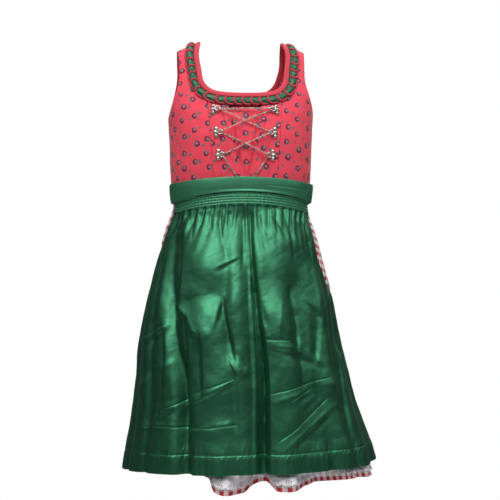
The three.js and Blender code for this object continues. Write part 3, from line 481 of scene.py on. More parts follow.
# Node helpers: a link is made by giving a socket as an input's value.
class NodeBoard:
    def __init__(self, tree):
        self.tree = tree

    def feed(self, value, socket):
        if isinstance(value, bpy.types.NodeSocket):
            self.tree.links.new(value, socket)
        else:
            socket.default_value = value

    def put(self, kind, values=None, **settings):
        node = self.tree.nodes.new(kind)
        for key, value in settings.items():
            setattr(node, key, value)
        for key, value in (values or {}).items():
            self.feed(value, node.inputs[key])
        return node

    def math(self, operation, *values):
        return self.put("ShaderNodeMath", dict(enumerate(values)), operation=operation).outputs[0]

    def plus(self, a, b):
        return self.math("ADD", a, b)

    def minus(self, a, b):
        return self.math("SUBTRACT", a, b)

    def times(self, a, b):
        return self.math("MULTIPLY", a, b)

    def over(self, a, b):
        return self.math("DIVIDE", a, b)

    def hypot(self, x, y):
        return self.math("SQRT", self.plus(self.times(x, x), self.times(y, y)))

    def vector(self, operation, *values):
        node = self.put("ShaderNodeVectorMath", dict(enumerate(values)), operation=operation)
        return node.outputs["Value" if operation in ("LENGTH", "DOT_PRODUCT") else "Vector"]

    def scaled(self, vector, factor):
        values = {0: vector, "Scale": factor}
        return self.put("ShaderNodeVectorMath", values, operation="SCALE").outputs["Vector"]

    def parts(self, vector):
        return self.put("ShaderNodeSeparateXYZ", {0: vector}).outputs

    def blend(self, share, a, b, kind="MIX"):
        node = self.put("ShaderNodeMix", data_type="RGBA", blend_type=kind)
        for name, value in (("Factor_Float", share), ("A_Color", a), ("B_Color", b)):
            self.feed(value, next(s for s in node.inputs if s.identifier == name))
        return next(s for s in node.outputs if s.identifier == "Result_Color")

    def range(self, value, low, high, toLow=0.0, toHigh=1.0, ease="SMOOTHSTEP"):
        values = {"Value": value, "From Min": low, "From Max": high, "To Min": toLow, "To Max": toHigh}
        return self.put("ShaderNodeMapRange", values, interpolation_type=ease).outputs["Result"]

    def noise(self, vector, scale, detail=2.0, rough=0.5):
        values = {"Vector": vector, "Scale": scale, "Detail": detail, "Roughness": rough}
        return self.put("ShaderNodeTexNoise", values).outputs["Fac"]


def newGroup(name, inputs, outputs):
    tree = bpy.data.node_groups.new(name, "ShaderNodeTree")
    for kind, label, value in inputs:
        socket = tree.interface.new_socket(label, in_out="INPUT", socket_type=kind)
        if value is not None:
            socket.default_value = value
    for kind, label in outputs:
        tree.interface.new_socket(label, in_out="OUTPUT", socket_type=kind)
    board = NodeBoard(tree)
    return tree, board, board.put("NodeGroupInput").outputs, board.put("NodeGroupOutput").inputs


# A plain weave from two crossing rows of threads: height is the larger thread, shade falls between them.
def weaveGroup():
    tree, board, given, result = newGroup(
        "plain weave",
        [("NodeSocketVector", "Place", None), ("NodeSocketFloat", "Pitch", 0.5)],
        [("NodeSocketFloat", "Height"), ("NodeSocketFloat", "Shade")])
    parts = board.parts(board.scaled(given["Place"], board.over(math.pi, given["Pitch"])))
    warp = board.math("SINE", parts[0])
    weft = board.math("SINE", parts[1])
    crossing = board.times(warp, weft)
    body = board.math("MAXIMUM", board.math("ABSOLUTE", warp), board.math("ABSOLUTE", weft))
    height = board.plus(board.times(body, 0.7), board.times(crossing, 0.3))
    tree.links.new(height, result["Height"])
    tree.links.new(board.range(body, 0.2, 1.0, 0.82, 1.0), result["Shade"])
    return tree


# Uneven dyeing and handling: a slow and a quick noise give a shade near 1, and a height for soft dents.
def mottleGroup():
    tree, board, given, result = newGroup(
        "cloth mottle",
        [("NodeSocketVector", "Place", None), ("NodeSocketFloat", "Amount", 0.12)],
        [("NodeSocketFloat", "Shade"), ("NodeSocketFloat", "Height")])
    slow = board.noise(given["Place"], 0.035, 3.0)
    quick = board.noise(given["Place"], 0.35, 2.0)
    both = board.plus(board.times(slow, 0.7), board.times(quick, 0.3))
    away = board.times(board.minus(both, 0.5), given["Amount"])
    tree.links.new(board.plus(1.0, board.times(away, 4.0)), result["Shade"])
    tree.links.new(both, result["Height"])
    return tree


# A crease pressed along a line: its height falls off as a cusp, e to the minus widths away, and at both ends.
def pressedGroup():
    tree, board, given, result = newGroup(
        "pressed line",
        [("NodeSocketVector", "Place", None), ("NodeSocketVector", "From", None),
         ("NodeSocketVector", "Along", None), ("NodeSocketFloat", "Length", 50),
         ("NodeSocketFloat", "Width", 1.5), ("NodeSocketFloat", "Depth", 1)],
        [("NodeSocketFloat", "Height")])
    away = board.vector("SUBTRACT", given["Place"], given["From"])
    run = board.vector("DOT_PRODUCT", away, given["Along"])
    span = board.vector("DOT_PRODUCT", away, away)
    beside = board.minus(span, board.times(run, run))
    beside = board.math("POWER", board.math("MAXIMUM", beside, 0.02), 0.5)
    share = board.over(run, given["Length"])
    ends = board.times(board.range(share, -0.05, 0.2), board.range(share, 1.05, 0.8))
    widths = board.over(beside, given["Width"])
    cusp = board.math("POWER", 2.718, board.times(widths, -1))
    tree.links.new(board.times(board.times(cusp, ends), given["Depth"]), result["Height"])
    return tree


# Small rosettes and dots on half-drop nets: cells of uv, each with its motif moved and turned by chance. A
# rosette is a wavy disc with a light centre and a leaf along one side.
def motifGroup():
    tree, board, given, result = newGroup(
        "printed motifs",
        [("NodeSocketVector", "Place", None), ("NodeSocketFloat", "Across", 21.0),
         ("NodeSocketFloat", "Up", 24.5), ("NodeSocketFloat", "Size", 5.6), ("NodeSocketFloat", "Dot", 2.9),
         ("NodeSocketVector", "Start", None)],
        [("NodeSocketFloat", name) for name in ("Petals", "Centre", "Leaf", "Dots")])

    def net(shiftX, shiftY, seedShift):
        moved = board.vector("ADD", board.vector("ADD", given["Place"], given["Start"]), (shiftX, shiftY, 0))
        parts = board.parts(moved)
        column = board.math("FLOOR", board.over(parts[0], given["Across"]))
        half = board.times(board.math("FLOORED_MODULO", column, 2.0), 0.5)
        level = board.plus(board.over(parts[1], given["Up"]), half)
        row = board.math("FLOOR", level)
        cell = board.put("ShaderNodeCombineXYZ", {0: column, 1: row, 2: seedShift}).outputs[0]
        chance = board.put("ShaderNodeTexWhiteNoise", {"Vector": cell}, noise_dimensions="3D").outputs["Color"]
        r, g, b = board.put("ShaderNodeSeparateColor", {0: chance}).outputs[:3]
        fromX = board.minus(board.over(parts[0], given["Across"]), column)
        fromY = board.minus(level, row)
        shiftedX = board.minus(fromX, board.math("MULTIPLY_ADD", r, 0.3, 0.35))
        shiftedY = board.minus(fromY, board.math("MULTIPLY_ADD", g, 0.3, 0.35))
        x = board.times(shiftedX, given["Across"])
        y = board.times(shiftedY, given["Up"])
        return x, y, b

    x, y, turn = net(0, 0, 0)
    away = board.hypot(x, y)
    angle = board.plus(board.math("ARCTAN2", y, x), board.times(turn, 6.28))
    lobes = board.times(board.math("SINE", board.times(angle, 3.0)), 0.07)
    scale = board.times(given["Size"], board.math("MULTIPLY_ADD", turn, 0.25, 0.85))
    reach = board.times(scale, board.plus(1.0, lobes))
    share = board.over(away, reach)
    tree.links.new(board.range(share, 0.98, 0.82), result["Petals"])
    fromCentre = board.hypot(board.minus(x, 0.5), board.minus(y, 0.6))
    tree.links.new(board.range(board.over(fromCentre, scale), 0.46, 0.24), result["Centre"])
    side = board.range(board.math("SINE", angle), 0.1, 0.6)
    ring = board.times(board.range(share, 0.45, 0.62), board.range(share, 1.0, 0.84))
    tree.links.new(board.times(side, ring), result["Leaf"])
    x, y, turn = net(10.5, 12.5, 7)
    away = board.hypot(x, y)
    size = board.times(given["Dot"], board.math("MULTIPLY_ADD", turn, 0.35, 0.8))
    tree.links.new(board.range(board.over(away, size), 1.05, 0.7), result["Dots"])
    return tree


# Two-colour check: stripes both ways. Where they cross it is full, a single one is half, with slanting threads.
def ginghamGroup():
    tree, board, given, result = newGroup(
        "gingham check",
        [("NodeSocketVector", "Place", None), ("NodeSocketFloat", "Square", 6.1)],
        [("NodeSocketFloat", "Red")])
    parts = board.parts(given["Place"])
    stripes = []
    for k in range(2):
        wave = board.math("SINE", board.over(board.times(parts[k], math.pi), given["Square"]))
        stripes.append(board.range(wave, -0.08, 0.08))
    both = board.plus(stripes[0], stripes[1])
    diagonal = board.plus(board.times(parts[0], 8.0), board.times(parts[1], 8.0))
    threads = board.times(board.math("SINE", diagonal), 0.10)
    only = board.minus(1.0, board.math("ABSOLUTE", board.minus(both, 1.0)))
    level = board.plus(board.times(both, 0.5), board.times(threads, only))
    tree.links.new(level, result["Red"])
    return tree


# Eyelet lace: three rings of small holes above one another in each scallop, each round a middle hole. Rows
# of eyelets are height, radius, holes and half size in millimetres.
eyelets = {
    "rings": ((5.4, 3.1, 7, 0.72), (15.2, 2.8, 6, 0.7), (24.0, 2.0, 5, 0.55)), "middle": 0.85, "pitch": 14.5,
}


def eyeletGroup():
    tree, board, given, result = newGroup(
        "eyelet holes",
        [("NodeSocketVector", "Place", None)],
        [("NodeSocketFloat", "Holes"), ("NodeSocketFloat", "Border")])
    parts = board.parts(given["Place"])
    turn = board.minus(board.math("FRACT", parts[0]), 0.5)
    x = board.times(turn, eyelets["pitch"])

    def ringOf(height, radius, count):
        y = board.minus(parts[1], height)
        away = board.hypot(x, y)
        sector = 2 * math.pi / count
        share = board.math("FRACT", board.over(board.math("ARCTAN2", y, x), sector))
        local = board.times(board.minus(share, 0.5), sector * radius)
        return board.hypot(local, board.minus(away, radius)), away

    holes = border = None
    for height, radius, count, size in eyelets["rings"]:
        gap, away = ringOf(height, radius, count)
        for distance, reach in ((gap, size), (away, eyelets["middle"])):
            hole = board.range(distance, reach + 0.12, reach - 0.12)
            edge = board.range(distance, reach + 0.9, reach + 0.3)
            holes = hole if holes is None else board.math("MAXIMUM", holes, hole)
            border = edge if border is None else board.math("MAXIMUM", border, edge)
    tree.links.new(holes, result["Holes"])
    tree.links.new(border, result["Border"])
    return tree


groups = {
    "weave": weaveGroup(), "mottle": mottleGroup(), "pressed": pressedGroup(), "motif": motifGroup(),
    "gingham": ginghamGroup(), "eyelet": eyeletGroup(),
}


def useGroup(board, name, values):
    return board.put("ShaderNodeGroup", values, node_tree=groups[name]).outputs


def srgb(code):
    parts = [int(code[k:k + 2], 16) / 255 for k in (1, 3, 5)]
    return (*[c / 12.92 if c <= 0.04045 else ((c + 0.055) / 1.055)**2.4 for c in parts], 1)


# A new material: returns it, its board, its shader and the piece's own uv as a place in millimetres.
def newMaterial(name, roughness, **sockets):
    material = bpy.data.materials.new(name)
    material.use_nodes = True
    material.node_tree.nodes.clear()
    board = NodeBoard(material.node_tree)
    shader = board.put("ShaderNodeBsdfPrincipled", {"Roughness": roughness})
    for key, value in sockets.items():
        shader.inputs[key.replace("_", " ")].default_value = value
    output = board.put("ShaderNodeOutputMaterial")
    material.node_tree.links.new(shader.outputs[0], output.inputs[0])
    place = board.put("ShaderNodeUVMap", uv_map="cloth").outputs[0]
    return material, board, shader, place


def addBump(board, shader, height, distance, strength=1.0):
    bump = board.put("ShaderNodeBump", {"Height": height, "Distance": distance / 1000, "Strength": strength})
    board.tree.links.new(bump.outputs[0], shader.inputs["Normal"])


def shaded(board, colour, *shades):
    total = shades[0]
    for shade in shades[1:]:
        total = board.times(total, shade)
    grey = board.put("ShaderNodeCombineColor", {0: total, 1: total, 2: total}).outputs[0]
    return board.blend(1.0, colour, grey, "MULTIPLY")


# Colours a shader by woven cloth: its threads and a mottle shade the colour, and the threads stand out.
def weaveInto(board, shader, place, colour, pitch, amount):
    weave = useGroup(board, "weave", {"Place": place, "Pitch": pitch})
    mottle = useGroup(board, "mottle", {"Place": place, "Amount": amount})
    board.tree.links.new(shaded(board, colour, weave["Shade"], mottle["Shade"]), shader.inputs["Base Color"])
    addBump(board, shader, weave["Height"], 0.06)


palette = {
    "bodice": "#EC4156",
    "binding": "#C93446",
    "piping": "#B4283A",
    "petals": "#5E1B38",
    "centre": "#D8748C",
    "leaf": "#6E6A62",
    "dots": "#875C68",
    "satin": "#347053",
    # painted light: the apron's own satin green made about one and a half times lighter, for its heading, band,
    # ties and bow
    "satinPaintedLighter": "#418967",
    "satinTrim": "#2B6146",
    "satinSheen": "#7FE0B0",
    "ginghamRed": "#AE1029",
    "ginghamWhite": "#F1EEEF",
    "lace": "#F2EFF4",
    "silver": "#D6D6CF",
    "tarnish": "#4A4A44",
    "chain": "#DDD0C6",
}


def printedCotton(name, start):
    material, board, shader, place = newMaterial(name, 0.78, Sheen_Weight=0.12, Sheen_Roughness=0.5)
    wobble = board.put("ShaderNodeTexNoise", {"Vector": place, "Scale": 0.6, "Detail": 1.0}).outputs["Color"]
    shift = board.scaled(board.vector("SUBTRACT", wobble, (0.5, 0.5, 0.5)), 1.6)
    motifs = useGroup(board, "motif", {"Place": board.vector("ADD", place, shift), "Start": start})
    colour = board.blend(motifs["Dots"], srgb(palette["bodice"]), srgb(palette["dots"]))
    colour = board.blend(motifs["Petals"], colour, srgb(palette["petals"]))
    colour = board.blend(motifs["Leaf"], colour, srgb(palette["leaf"]))
    colour = board.blend(board.times(motifs["Centre"], 0.8), colour, srgb(palette["centre"]))
    weaveInto(board, shader, place, colour, 0.42, 0.07)
    return material


def plainCotton(name, code):
    material, board, shader, place = newMaterial(name, 0.74, Sheen_Weight=0.12)
    weaveInto(board, shader, place, srgb(code), 0.4, 0.1)
    return material


# Satin: long floats across the uv make fine streaks, the gloss varies a little with handling, and soft
# crumples, a folded slow noise with a quicker one, break the shine up. hemLine is the stitching's height over
# the hem: a groove, with the cloth below it raised and drawn into short folds beside it.
def satinCloth(name, code, roughness, metal, crumples, hemLine=0, pressed=()):
    material, board, shader, place = newMaterial(name, roughness, Metallic=metal, Sheen_Weight=0.04,
                                                 Sheen_Roughness=0.35, Sheen_Tint=srgb(palette["satinSheen"]))
    stretched = board.put("ShaderNodeMapping", {"Vector": place, "Scale": (3.0, 0.12, 1)}).outputs[0]
    streaks = board.noise(stretched, 1.0, 3.0)
    mottle = useGroup(board, "mottle", {"Place": place, "Amount": 0.10})
    shade = board.range(streaks, 0.3, 0.7, 0.86, 1.08, "LINEAR")
    board.tree.links.new(shaded(board, srgb(code), shade, mottle["Shade"]), shader.inputs["Base Color"])
    gloss = board.plus(roughness - 0.06, board.times(mottle["Height"], 0.14))
    board.tree.links.new(gloss, shader.inputs["Roughness"])
    folded = board.math("ABSOLUTE", board.minus(board.noise(place, 0.028, 1.0), 0.5))
    crumpled = board.plus(board.times(folded, 3.0), board.noise(place, 0.09, 1.0))
    crumpled = board.times(crumpled, crumples)
    height = board.plus(board.times(streaks, 0.25), crumpled)
    if hemLine:
        parts = board.parts(place)
        away = board.math("ABSOLUTE", board.minus(parts[1], hemLine))
        groove = board.times(board.range(away, 2.4, 0.4), -1.1)
        fold = board.times(board.range(parts[1], hemLine, hemLine - 1.5), 0.5)
        across = board.put("ShaderNodeMapping", {"Vector": place, "Scale": (0.16, 0.02, 1)}).outputs[0]
        pulled = board.times(board.noise(across, 1.0, 2.0), board.range(away, 26, 3))
        hemmed = board.plus(board.plus(groove, fold), board.times(pulled, 5.0))
        height = board.plus(height, hemmed)
    for x0, y0, x1, y1, width, depth in pressed:
        length = math.hypot(x1 - x0, y1 - y0)
        line = useGroup(board, "pressed", {
            "Place": place, "From": (x0, y0, 0), "Along": ((x1 - x0) / length, (y1 - y0) / length, 0),
            "Length": length, "Width": width, "Depth": depth})
        height = board.plus(height, line["Height"])
    addBump(board, shader, height, 0.8, 0.5)
    return material


def ginghamCotton():
    material, board, shader, place = newMaterial("gingham cotton", 0.8, Sheen_Weight=0.1)
    check = useGroup(board, "gingham", {"Place": place, "Square": 6.2})
    colour = board.blend(check["Red"], srgb(palette["ginghamWhite"]), srgb(palette["ginghamRed"]))
    weaveInto(board, shader, place, colour, 0.42, 0.06)
    return material


def whiteLace():
    material, board, shader, place = newMaterial("white eyelet lace", 0.8, Sheen_Weight=0.15)
    cut = useGroup(board, "eyelet", {"Place": place})
    even = board.vector("MULTIPLY", place, (eyelets["pitch"], 1, 1))
    weave = useGroup(board, "weave", {"Place": even, "Pitch": 0.5})
    mottle = useGroup(board, "mottle", {"Place": even, "Amount": 0.06})
    board.tree.links.new(shaded(board, srgb(palette["lace"]), weave["Shade"], mottle["Shade"]),
                         shader.inputs["Base Color"])
    board.tree.links.new(board.minus(1.0, cut["Holes"]), shader.inputs["Alpha"])
    height = board.plus(board.times(weave["Height"], 0.2), cut["Border"])
    addBump(board, shader, height, 0.35)
    return material


# Cast metal: tarnish is spread by a slow noise, the polish is uneven.
def antiqueSilver(name, code, roughness):
    material, board, shader, _ = newMaterial(name, roughness, Metallic=1.0)
    place = board.put("ShaderNodeTexCoord").outputs["Object"]
    slow = board.noise(place, 420.0, 3.0)
    quick = board.noise(place, 1800.0, 2.0)
    dark = board.times(board.range(slow, 0.42, 0.62), 0.65)
    board.tree.links.new(board.blend(dark, srgb(code), srgb(palette["tarnish"])), shader.inputs["Base Color"])
    board.tree.links.new(board.math("MULTIPLY_ADD", quick, 0.3, roughness - 0.1), shader.inputs["Roughness"])
    addBump(board, shader, board.plus(slow, board.times(quick, 0.4)), 0.25, 0.6)
    return material


# Creases pressed in the apron, in the flat cloth: from, to, width and depth in millimetres.
apronPressed = [
    (102, 82, 282, 147, 1.5, -2.6), (87, 69, 233, 69, 1.4, -2.4), (230, 68, 287, 73, 1.4, -2.6),
    (307, 198, 352, 197, 1.6, -2.6), (347, 198, 427, 156, 1.6, -2.4), (336, 116, 452, 140, 1.3, -2.2),
    (375, 106, 414, 123, 1.3, -2.4), (366, 47, 402, 73, 1.6, -2.8), (397, 70, 452, 110, 1.6, -2.8),
    (24, 194, 110, 226, 1.8, -2.4), (106, 71, 147, 99, 1.4, -2.2), (239, 178, 272, 140, 2.0, 2.6),
]
satinApron = satinCloth("green satin", palette["satin"], 0.44, 0.92, 1.2, 29, apronPressed)
# The heading, band, ties and bow are the apron's own satin, painted lighter in colour than the apron: painted
# light.
satinTrim = satinCloth("green satin trim painted lighter", palette["satinPaintedLighter"], 0.44, 0.6, 0.35)
satinBraid = satinCloth("green satin braid", palette["satinTrim"], 0.45, 0.3, 0.3)
redCotton = plainCotton("plain red cotton", palette["binding"])
pipingCotton = plainCotton("plain red cotton piping", palette["piping"])
checkCotton = ginghamCotton()
laceCotton = whiteLace()
silverCast = antiqueSilver("antique silver", palette["silver"], 0.34)
silverChain = antiqueSilver("antique silver chain", palette["chain"], 0.36)
print("materials made")

bodice = {
    "frontNeck": [(58, -78), (64, -67), (67, -46), (69.5, -25), (67, -8), (65, 0)],
    "neckBottom": [(26, -88.6), (46, -85.5), (58, -78)],
    "insertNeck": [(-30, -88.2), (0, -89.5), (30, -88.2)],
    "backNeck": [(0, -79), (36, -77), (58, -66), (67, -42), (67, -16), (65, 0)],
    "princessSeam": [(47, -231), (50, -200), (54, -150), (56.5, -105), (58, -78)],
    "frontEdge": [(4.5, -231), (6.5, -218), (17, -175), (24, -140), (25.5, -110), (26, -88.6)],
    "sideSeam": [(58, -245), (58, -190), (68, -152), (86, -125)],
    "frontArmhole": [
        (86, -125), (71, -112), (64, -102), (57.5, -89), (52, -72), (49.7, -52), (49.5, -34), (51, -16)],
    "backArmhole": [(86, -125), (105, -118), (118, -100), (126, -78), (130, -52), (130, -32), (129, -16)],
    "insertWide": 8,
    "insertColumns": 76,
    "insertRows": 70,
    "insertLift": -2.9,
    "seamSteps": 25,
    "longSteps": 35,
    # each kind of panel: creases, drawn seams, where its print starts, the sheet's flat size and area
    "panels": {
        "side_front": ("frontCreases", ("left", "right", "top"), 27.0, (0.115, 0.255), 0.015),
        "centre_front": ("frontCreases", ("right",), 3.0, (0.06, 0.16), 0.0058),
        "back": ("backCreases", ("left", "right", "top"), 61.0, (0.205, 0.26), 0.036),
    },
    "printHeight": {"left": 5.0, "right": 13.0},
    # creases on the front as x, z, x, z, half width and depth, seen from outside
    "frontCreases": [
        (-52, -98, -30, -128, 2.6, -1.0), (-46, -118, -26, -150, 3.0, -1.1), (-44, -160, -20, -205, 3.0, -1.1),
        (-34, -190, -14, -222, 2.2, -0.9), (44, -120, 27, -158, 2.8, -1.0), (42, -165, 22, -204, 3.0, -1.2),
        (36, -196, 14, -224, 2.4, -1.0), (-40, -140, -27, -166, 1.8, 0.7), (38, -142, 26, -176, 1.8, 0.7),
        (-48, -196, -36, -226, 2.4, -0.8), (47, -186, 37, -222, 2.4, -0.8), (-50, -226, -20, -214, 2.6, -0.8),
        (-40, -112, -27, -152, 1.5, -2.2), (-37, -112, -24, -150, 1.8, 1.0), (38, -114, 27, -152, 1.5, -2.0),
        (35, -112, 24, -150, 1.8, 1.0), (-33, -164, -18, -206, 1.5, -1.2), (30, -160, 16, -204, 1.5, -1.3),
        (-78, -128, -62, -150, 5, -0.8), (80, -124, 64, -146, 5, -0.7), (-92, -212, -58, -218, 4, -0.7),
        (94, -216, 62, -212, 4, -0.7), (-96, -196, -66, -203, 5, -0.5),
        (98, -190, 70, -196, 5, -0.5), (-84, -60, -70, -88, 5, -0.5), (84, -58, 72, -92, 5, -0.5),
    ],
    "insertCreases": [
        (-24, -122, -4, -216, 1.7, -3.4), (-19, -118, 0, -210, 2.2, 2.0), (-12, -112, -4, -170, 1.5, -1.7),
        (22, -122, 6, -216, 1.7, -3.2), (17, -116, 4, -208, 2.2, 2.0), (12, -104, 8, -160, 1.5, -1.6),
        (2, -128, 1, -196, 2.6, 0.8), (-25, -94, -18, -124, 1.6, -1.2), (25, -94, 19, -126, 1.6, -1.1),
        (-8, -150, -2, -212, 1.5, -1.1), (-14, -96, -9, -116, 2.0, -0.7), (9, -150, 3, -206, 1.4, -0.9),
    ],
    "backCreases": [
        (-70, -205, -22, -214, 5, -0.8), (68, -208, 24, -216, 5, -0.8), (-50, -222, -12, -226, 4, -0.7),
        (52, -224, 10, -227, 4, -0.7), (-92, -128, -66, -146, 6, -0.9), (92, -130, 68, -148, 6, -0.9),
        (-84, -170, -60, -186, 6, -0.6), (82, -174, 58, -188, 6, -0.6),
    ],
}


def placesOf(name):
    b = bodice
    short, long = b["seamSteps"], b["longSteps"]
    if name == "side_front":
        outer = np.vstack([edgeByAround(b["sideSeam"], short), edgeByAround(b["frontArmhole"], long)[1:]])
        inner = np.vstack([edgeByX(b["princessSeam"], long), edgeByX(b["frontNeck"], short)[1:]])
        columns = 34
    elif name == "centre_front":
        outer, inner = edgeByX(b["princessSeam"], 44), edgeByX(b["frontEdge"], 44)
        columns = 26
    else:
        outer = np.vstack([edgeByAround(b["sideSeam"], short), edgeByAround(b["backArmhole"], long)[1:]])
        neck = edgeByX(b["backNeck"], short, True)
        low = waistEdge(180, 180, 1)[0]
        inner = np.vstack([mix(low, neck[0], rowShares(long + 1)), neck[1:]])
        columns = 64
    bottom = waistEdge(outer[0, 0], inner[0, 0], columns)
    outer[0], inner[0] = bottom[0], bottom[-1]
    if name == "centre_front":
        top = edgeByX(b["neckBottom"], columns)[::-1]
    else:
        outer[-1, 1] = inner[-1, 1] = 0
        top = mix(outer[-1], inner[-1], rowShares(columns + 1))
    return fillGrid(outer, inner, bottom, top)


def insertPlaces():
    edge = [(x + bodice["insertWide"], z) for x, z in bodice["frontEdge"]]
    edge[-1] = bodice["insertNeck"][2]
    right = edgeByX(edge, bodice["insertRows"])
    left = right * (-1, 1)
    bottom = waistEdge(left[0, 0], right[0, 0], bodice["insertColumns"])
    left[0], right[0] = bottom[0], bottom[-1]
    return fillGrid(left, right, bottom, edgeByX(bodice["insertNeck"], bodice["insertColumns"]))


# A panel: the torso's surface over the grid of places, moved by its creases, drawn in and puckered at its
# seams and rolled at a free edge, and the same surface one wall further in. The left ones are mirrored.
def bodicePanel(name, places, creases, material, seams, lift=0.0, isLeft=False):
    around, down = places[..., 0], places[..., 1]
    plain = torsoPoint(around, down)
    left, right, bottom, top = edgeDistances(plain)
    away = {"left": left, "right": right, "bottom": bottom, "top": top}
    side = -1 if isLeft else 1
    relief = creaseField(plain[..., 0] * side, plain[..., 2], creases)
    relief = relief + 0.35 * softWaves(left, bottom, 55, 17 + len(name))
    for edge in seams:
        other = bottom if edge in ("left", "right") else left
        pucker = 0.16 * np.sin(other * 2 * math.pi / 7.5 + 2 * softWaves(other, other, 40, 5))
        relief = relief - np.exp(-(away[edge] / 1.4)**2) + pucker * np.exp(-away[edge] / 4.5)
    if seams == ("right",):
        relief = relief + 1.8 * np.exp(-(left / 2.4)**2) - 0.6 * np.exp(-((left - 4.8) / 1.0)**2)
    grids = [trimmed(torsoPoint(around, down, lift + relief - inwards), panelGap) * (side, 1, 1)
             for inwards in (0, cottonWall)]
    uv = torsoUv(around, down) * (side, 1)
    return clothPiece(name + "_cloth", grids, uv, material, 0.6, [name])


def makeBodice():
    for kind, (creases, seams, shift, flat, area) in bodice["panels"].items():
        places = placesOf(kind)
        for side in ("left", "right"):
            start = (shift, bodice["printHeight"][side], 0)
            material = printedCotton(f"printed cotton {kind} {side}", start)
            piece = bodicePanel(f"bodice_{kind}_{side}", places, bodice[creases], material, seams,
                                isLeft=side == "left")
    material = printedCotton("printed cotton insert", (8.0, 21.0, 0))
    piece = bodicePanel("bodice_insert", insertPlaces(), bodice["insertCreases"], material, (),
                        lift=bodice["insertLift"])
    print("bodice made")


makeBodice()

neck = {
    "bindingSteps": 420, "stitching": 5.9, "width": 7, "gap": 0.4, "lift": 0.7, "braidWidth": 13,
    "braidHeight": 5.2, "puffs": 50, "perPuff": 14, "braidColumns": 15, "bulge": 0.30,
    # along a puff's lip: share of the lip, across, puffs on; and share of the lip, radius
    "lip": np.array([(0, -0.93, 0), (0.62, 0.93, 0), (0.72, 1.02, 0.1), (1, 1.06, 0.78)]),
    "lipRadius": np.array([(0, 0.6), (0.08, 1.4), (0.5, 1.8), (0.9, 1.4), (1, 0.4)]),
    "lipSteps": 26, "lipSides": 7,
}


# The neck's edge all round as places, from the centre front up over each shoulder to the back.
def neckEdge(perQuarter=24):
    bottom = edgeByX([(0, -89.5)] + bodice["neckBottom"], perQuarter)
    rise = edgeByX(bodice["frontNeck"], perQuarter)[1:]
    back = edgeByX(bodice["backNeck"], round(perQuarter * 1.6), True)[::-1]
    right = np.vstack([bottom, rise, back])
    right[:, 1] = np.maximum(right[:, 1], 0.01)
    left = right[1:-1][::-1].copy()
    left[:, 0] = np.where(left[:, 0] > 90, 360 - left[:, 0], -left[:, 0])
    return np.vstack([right, left])


edgePlaces = neckEdge()
edgeClosed = np.vstack([edgePlaces, edgePlaces[:1]])
edgeLengths = lengthsAlong(torsoBase(edgeClosed[:, 0], edgeClosed[:, 1]))
neckLength = edgeLengths[-1]


def neckPlace(share):
    goal = (share % 1.0) * neckLength
    k = np.clip(np.searchsorted(edgeLengths, goal, side="right") - 1, 0, len(edgePlaces) - 1)
    part = (goal - edgeLengths[k]) / np.maximum(edgeLengths[k + 1] - edgeLengths[k], 1e-9)
    here, there = edgeClosed[k], edgeClosed[k + 1]
    part = np.where(np.abs(here[..., 0] - there[..., 0]) > 60, np.round(part), part)[..., None]
    place = here + (there - here) * part
    return place[..., 0], place[..., 1]


# A point of the neck's trim: from the edge at this share of its length, across over the torso in short steps,
# then out by lift.
def neckPoint(share, across, lift):
    share, across, lift = (np.asarray(a, float) for a in np.broadcast_arrays(share, across, lift))
    around, down = neckPlace(share)
    beforeA, beforeD = neckPlace(share - 0.004)
    afterA, afterD = neckPlace(share + 0.004)
    tangent = torsoBase(afterA, afterD) - torsoBase(beforeA, beforeD)
    away = unit(np.cross(tangent, torsoNormal(around, down)))
    steps = 8
    for _ in range(steps):
        here = torsoBase(around, down)
        perTurn = (torsoBase(around + 0.5, down) - here) * 2
        perDown = (torsoBase(around, down + 0.5) - here) * 2
        aa, dd, ad = (perTurn**2).sum(-1), (perDown**2).sum(-1), (perTurn * perDown).sum(-1)
        a = (perTurn * away).sum(-1) * across / steps
        d = (perDown * away).sum(-1) * across / steps
        around = around + (a * dd - d * ad) / (aa * dd - ad * ad)
        down = np.maximum(0.01, down + (d * aa - a * ad) / (aa * dd - ad * ad))
    return torsoPoint(around, down, lift)


# The binding wraps the edge: its profile runs over the outer side, round the edge and back inside.
def makeBinding():
    profile = np.array([
        (7.0, 0.5), (6.9, 1.5), (6.2, 2.1), (4.6, 2.25), (2.6, 2.3), (1.0, 2.3), (0.0, 2.0), (-0.8, 1.0),
        (-1.0, -0.4), (-0.6, -1.8), (0.4, -2.6), (2.5, -2.9), (5.0, -2.8), (6.6, -2.5), (6.8, -2.1),
        (5.0, -1.9), (2.0, -1.8), (0.3, -1.7), (0.1, -0.6), (0.3, 0.15), (2.0, 0.3), (5.0, 0.35)])
    count = neck["bindingSteps"]
    share = np.arange(count)[:, None] / count
    across, lift = profile[None, :, 0], profile[None, :, 1]
    lift = lift + np.where(lift > 1.2, 0.14 * softWaves(share * neckLength, across, 26, 4), 0)
    groove = 0.35 * np.exp(-((across - neck["stitching"]) / 0.5)**2) * (lift > 1.2)
    rings = neckPoint(share, across, lift - groove)
    measure = lengthsAlong(np.vstack([profile, profile[:1]]))
    uv = paired(rowShares(count + 1, 0, neckLength), measure[None])
    piece = tubePiece("neck_binding_cloth", rings, uv, redCotton, True)
    dress(piece, ["neck_binding"])


# One puff of the braid: its boundaries curve back towards the start of the path, between them the satin swells.
def braidLift(phase, t):
    f = phase % 1.0
    swell = (4 * f * (1 - f))**0.42
    crown = np.maximum(0, 1 - np.abs(t * 0.98)**2.6)
    tuck = smooth(t, -1.1, -0.15)
    return neck["braidHeight"] * crown * (0.12 + 0.86 * swell) * (0.40 + 0.60 * tuck)


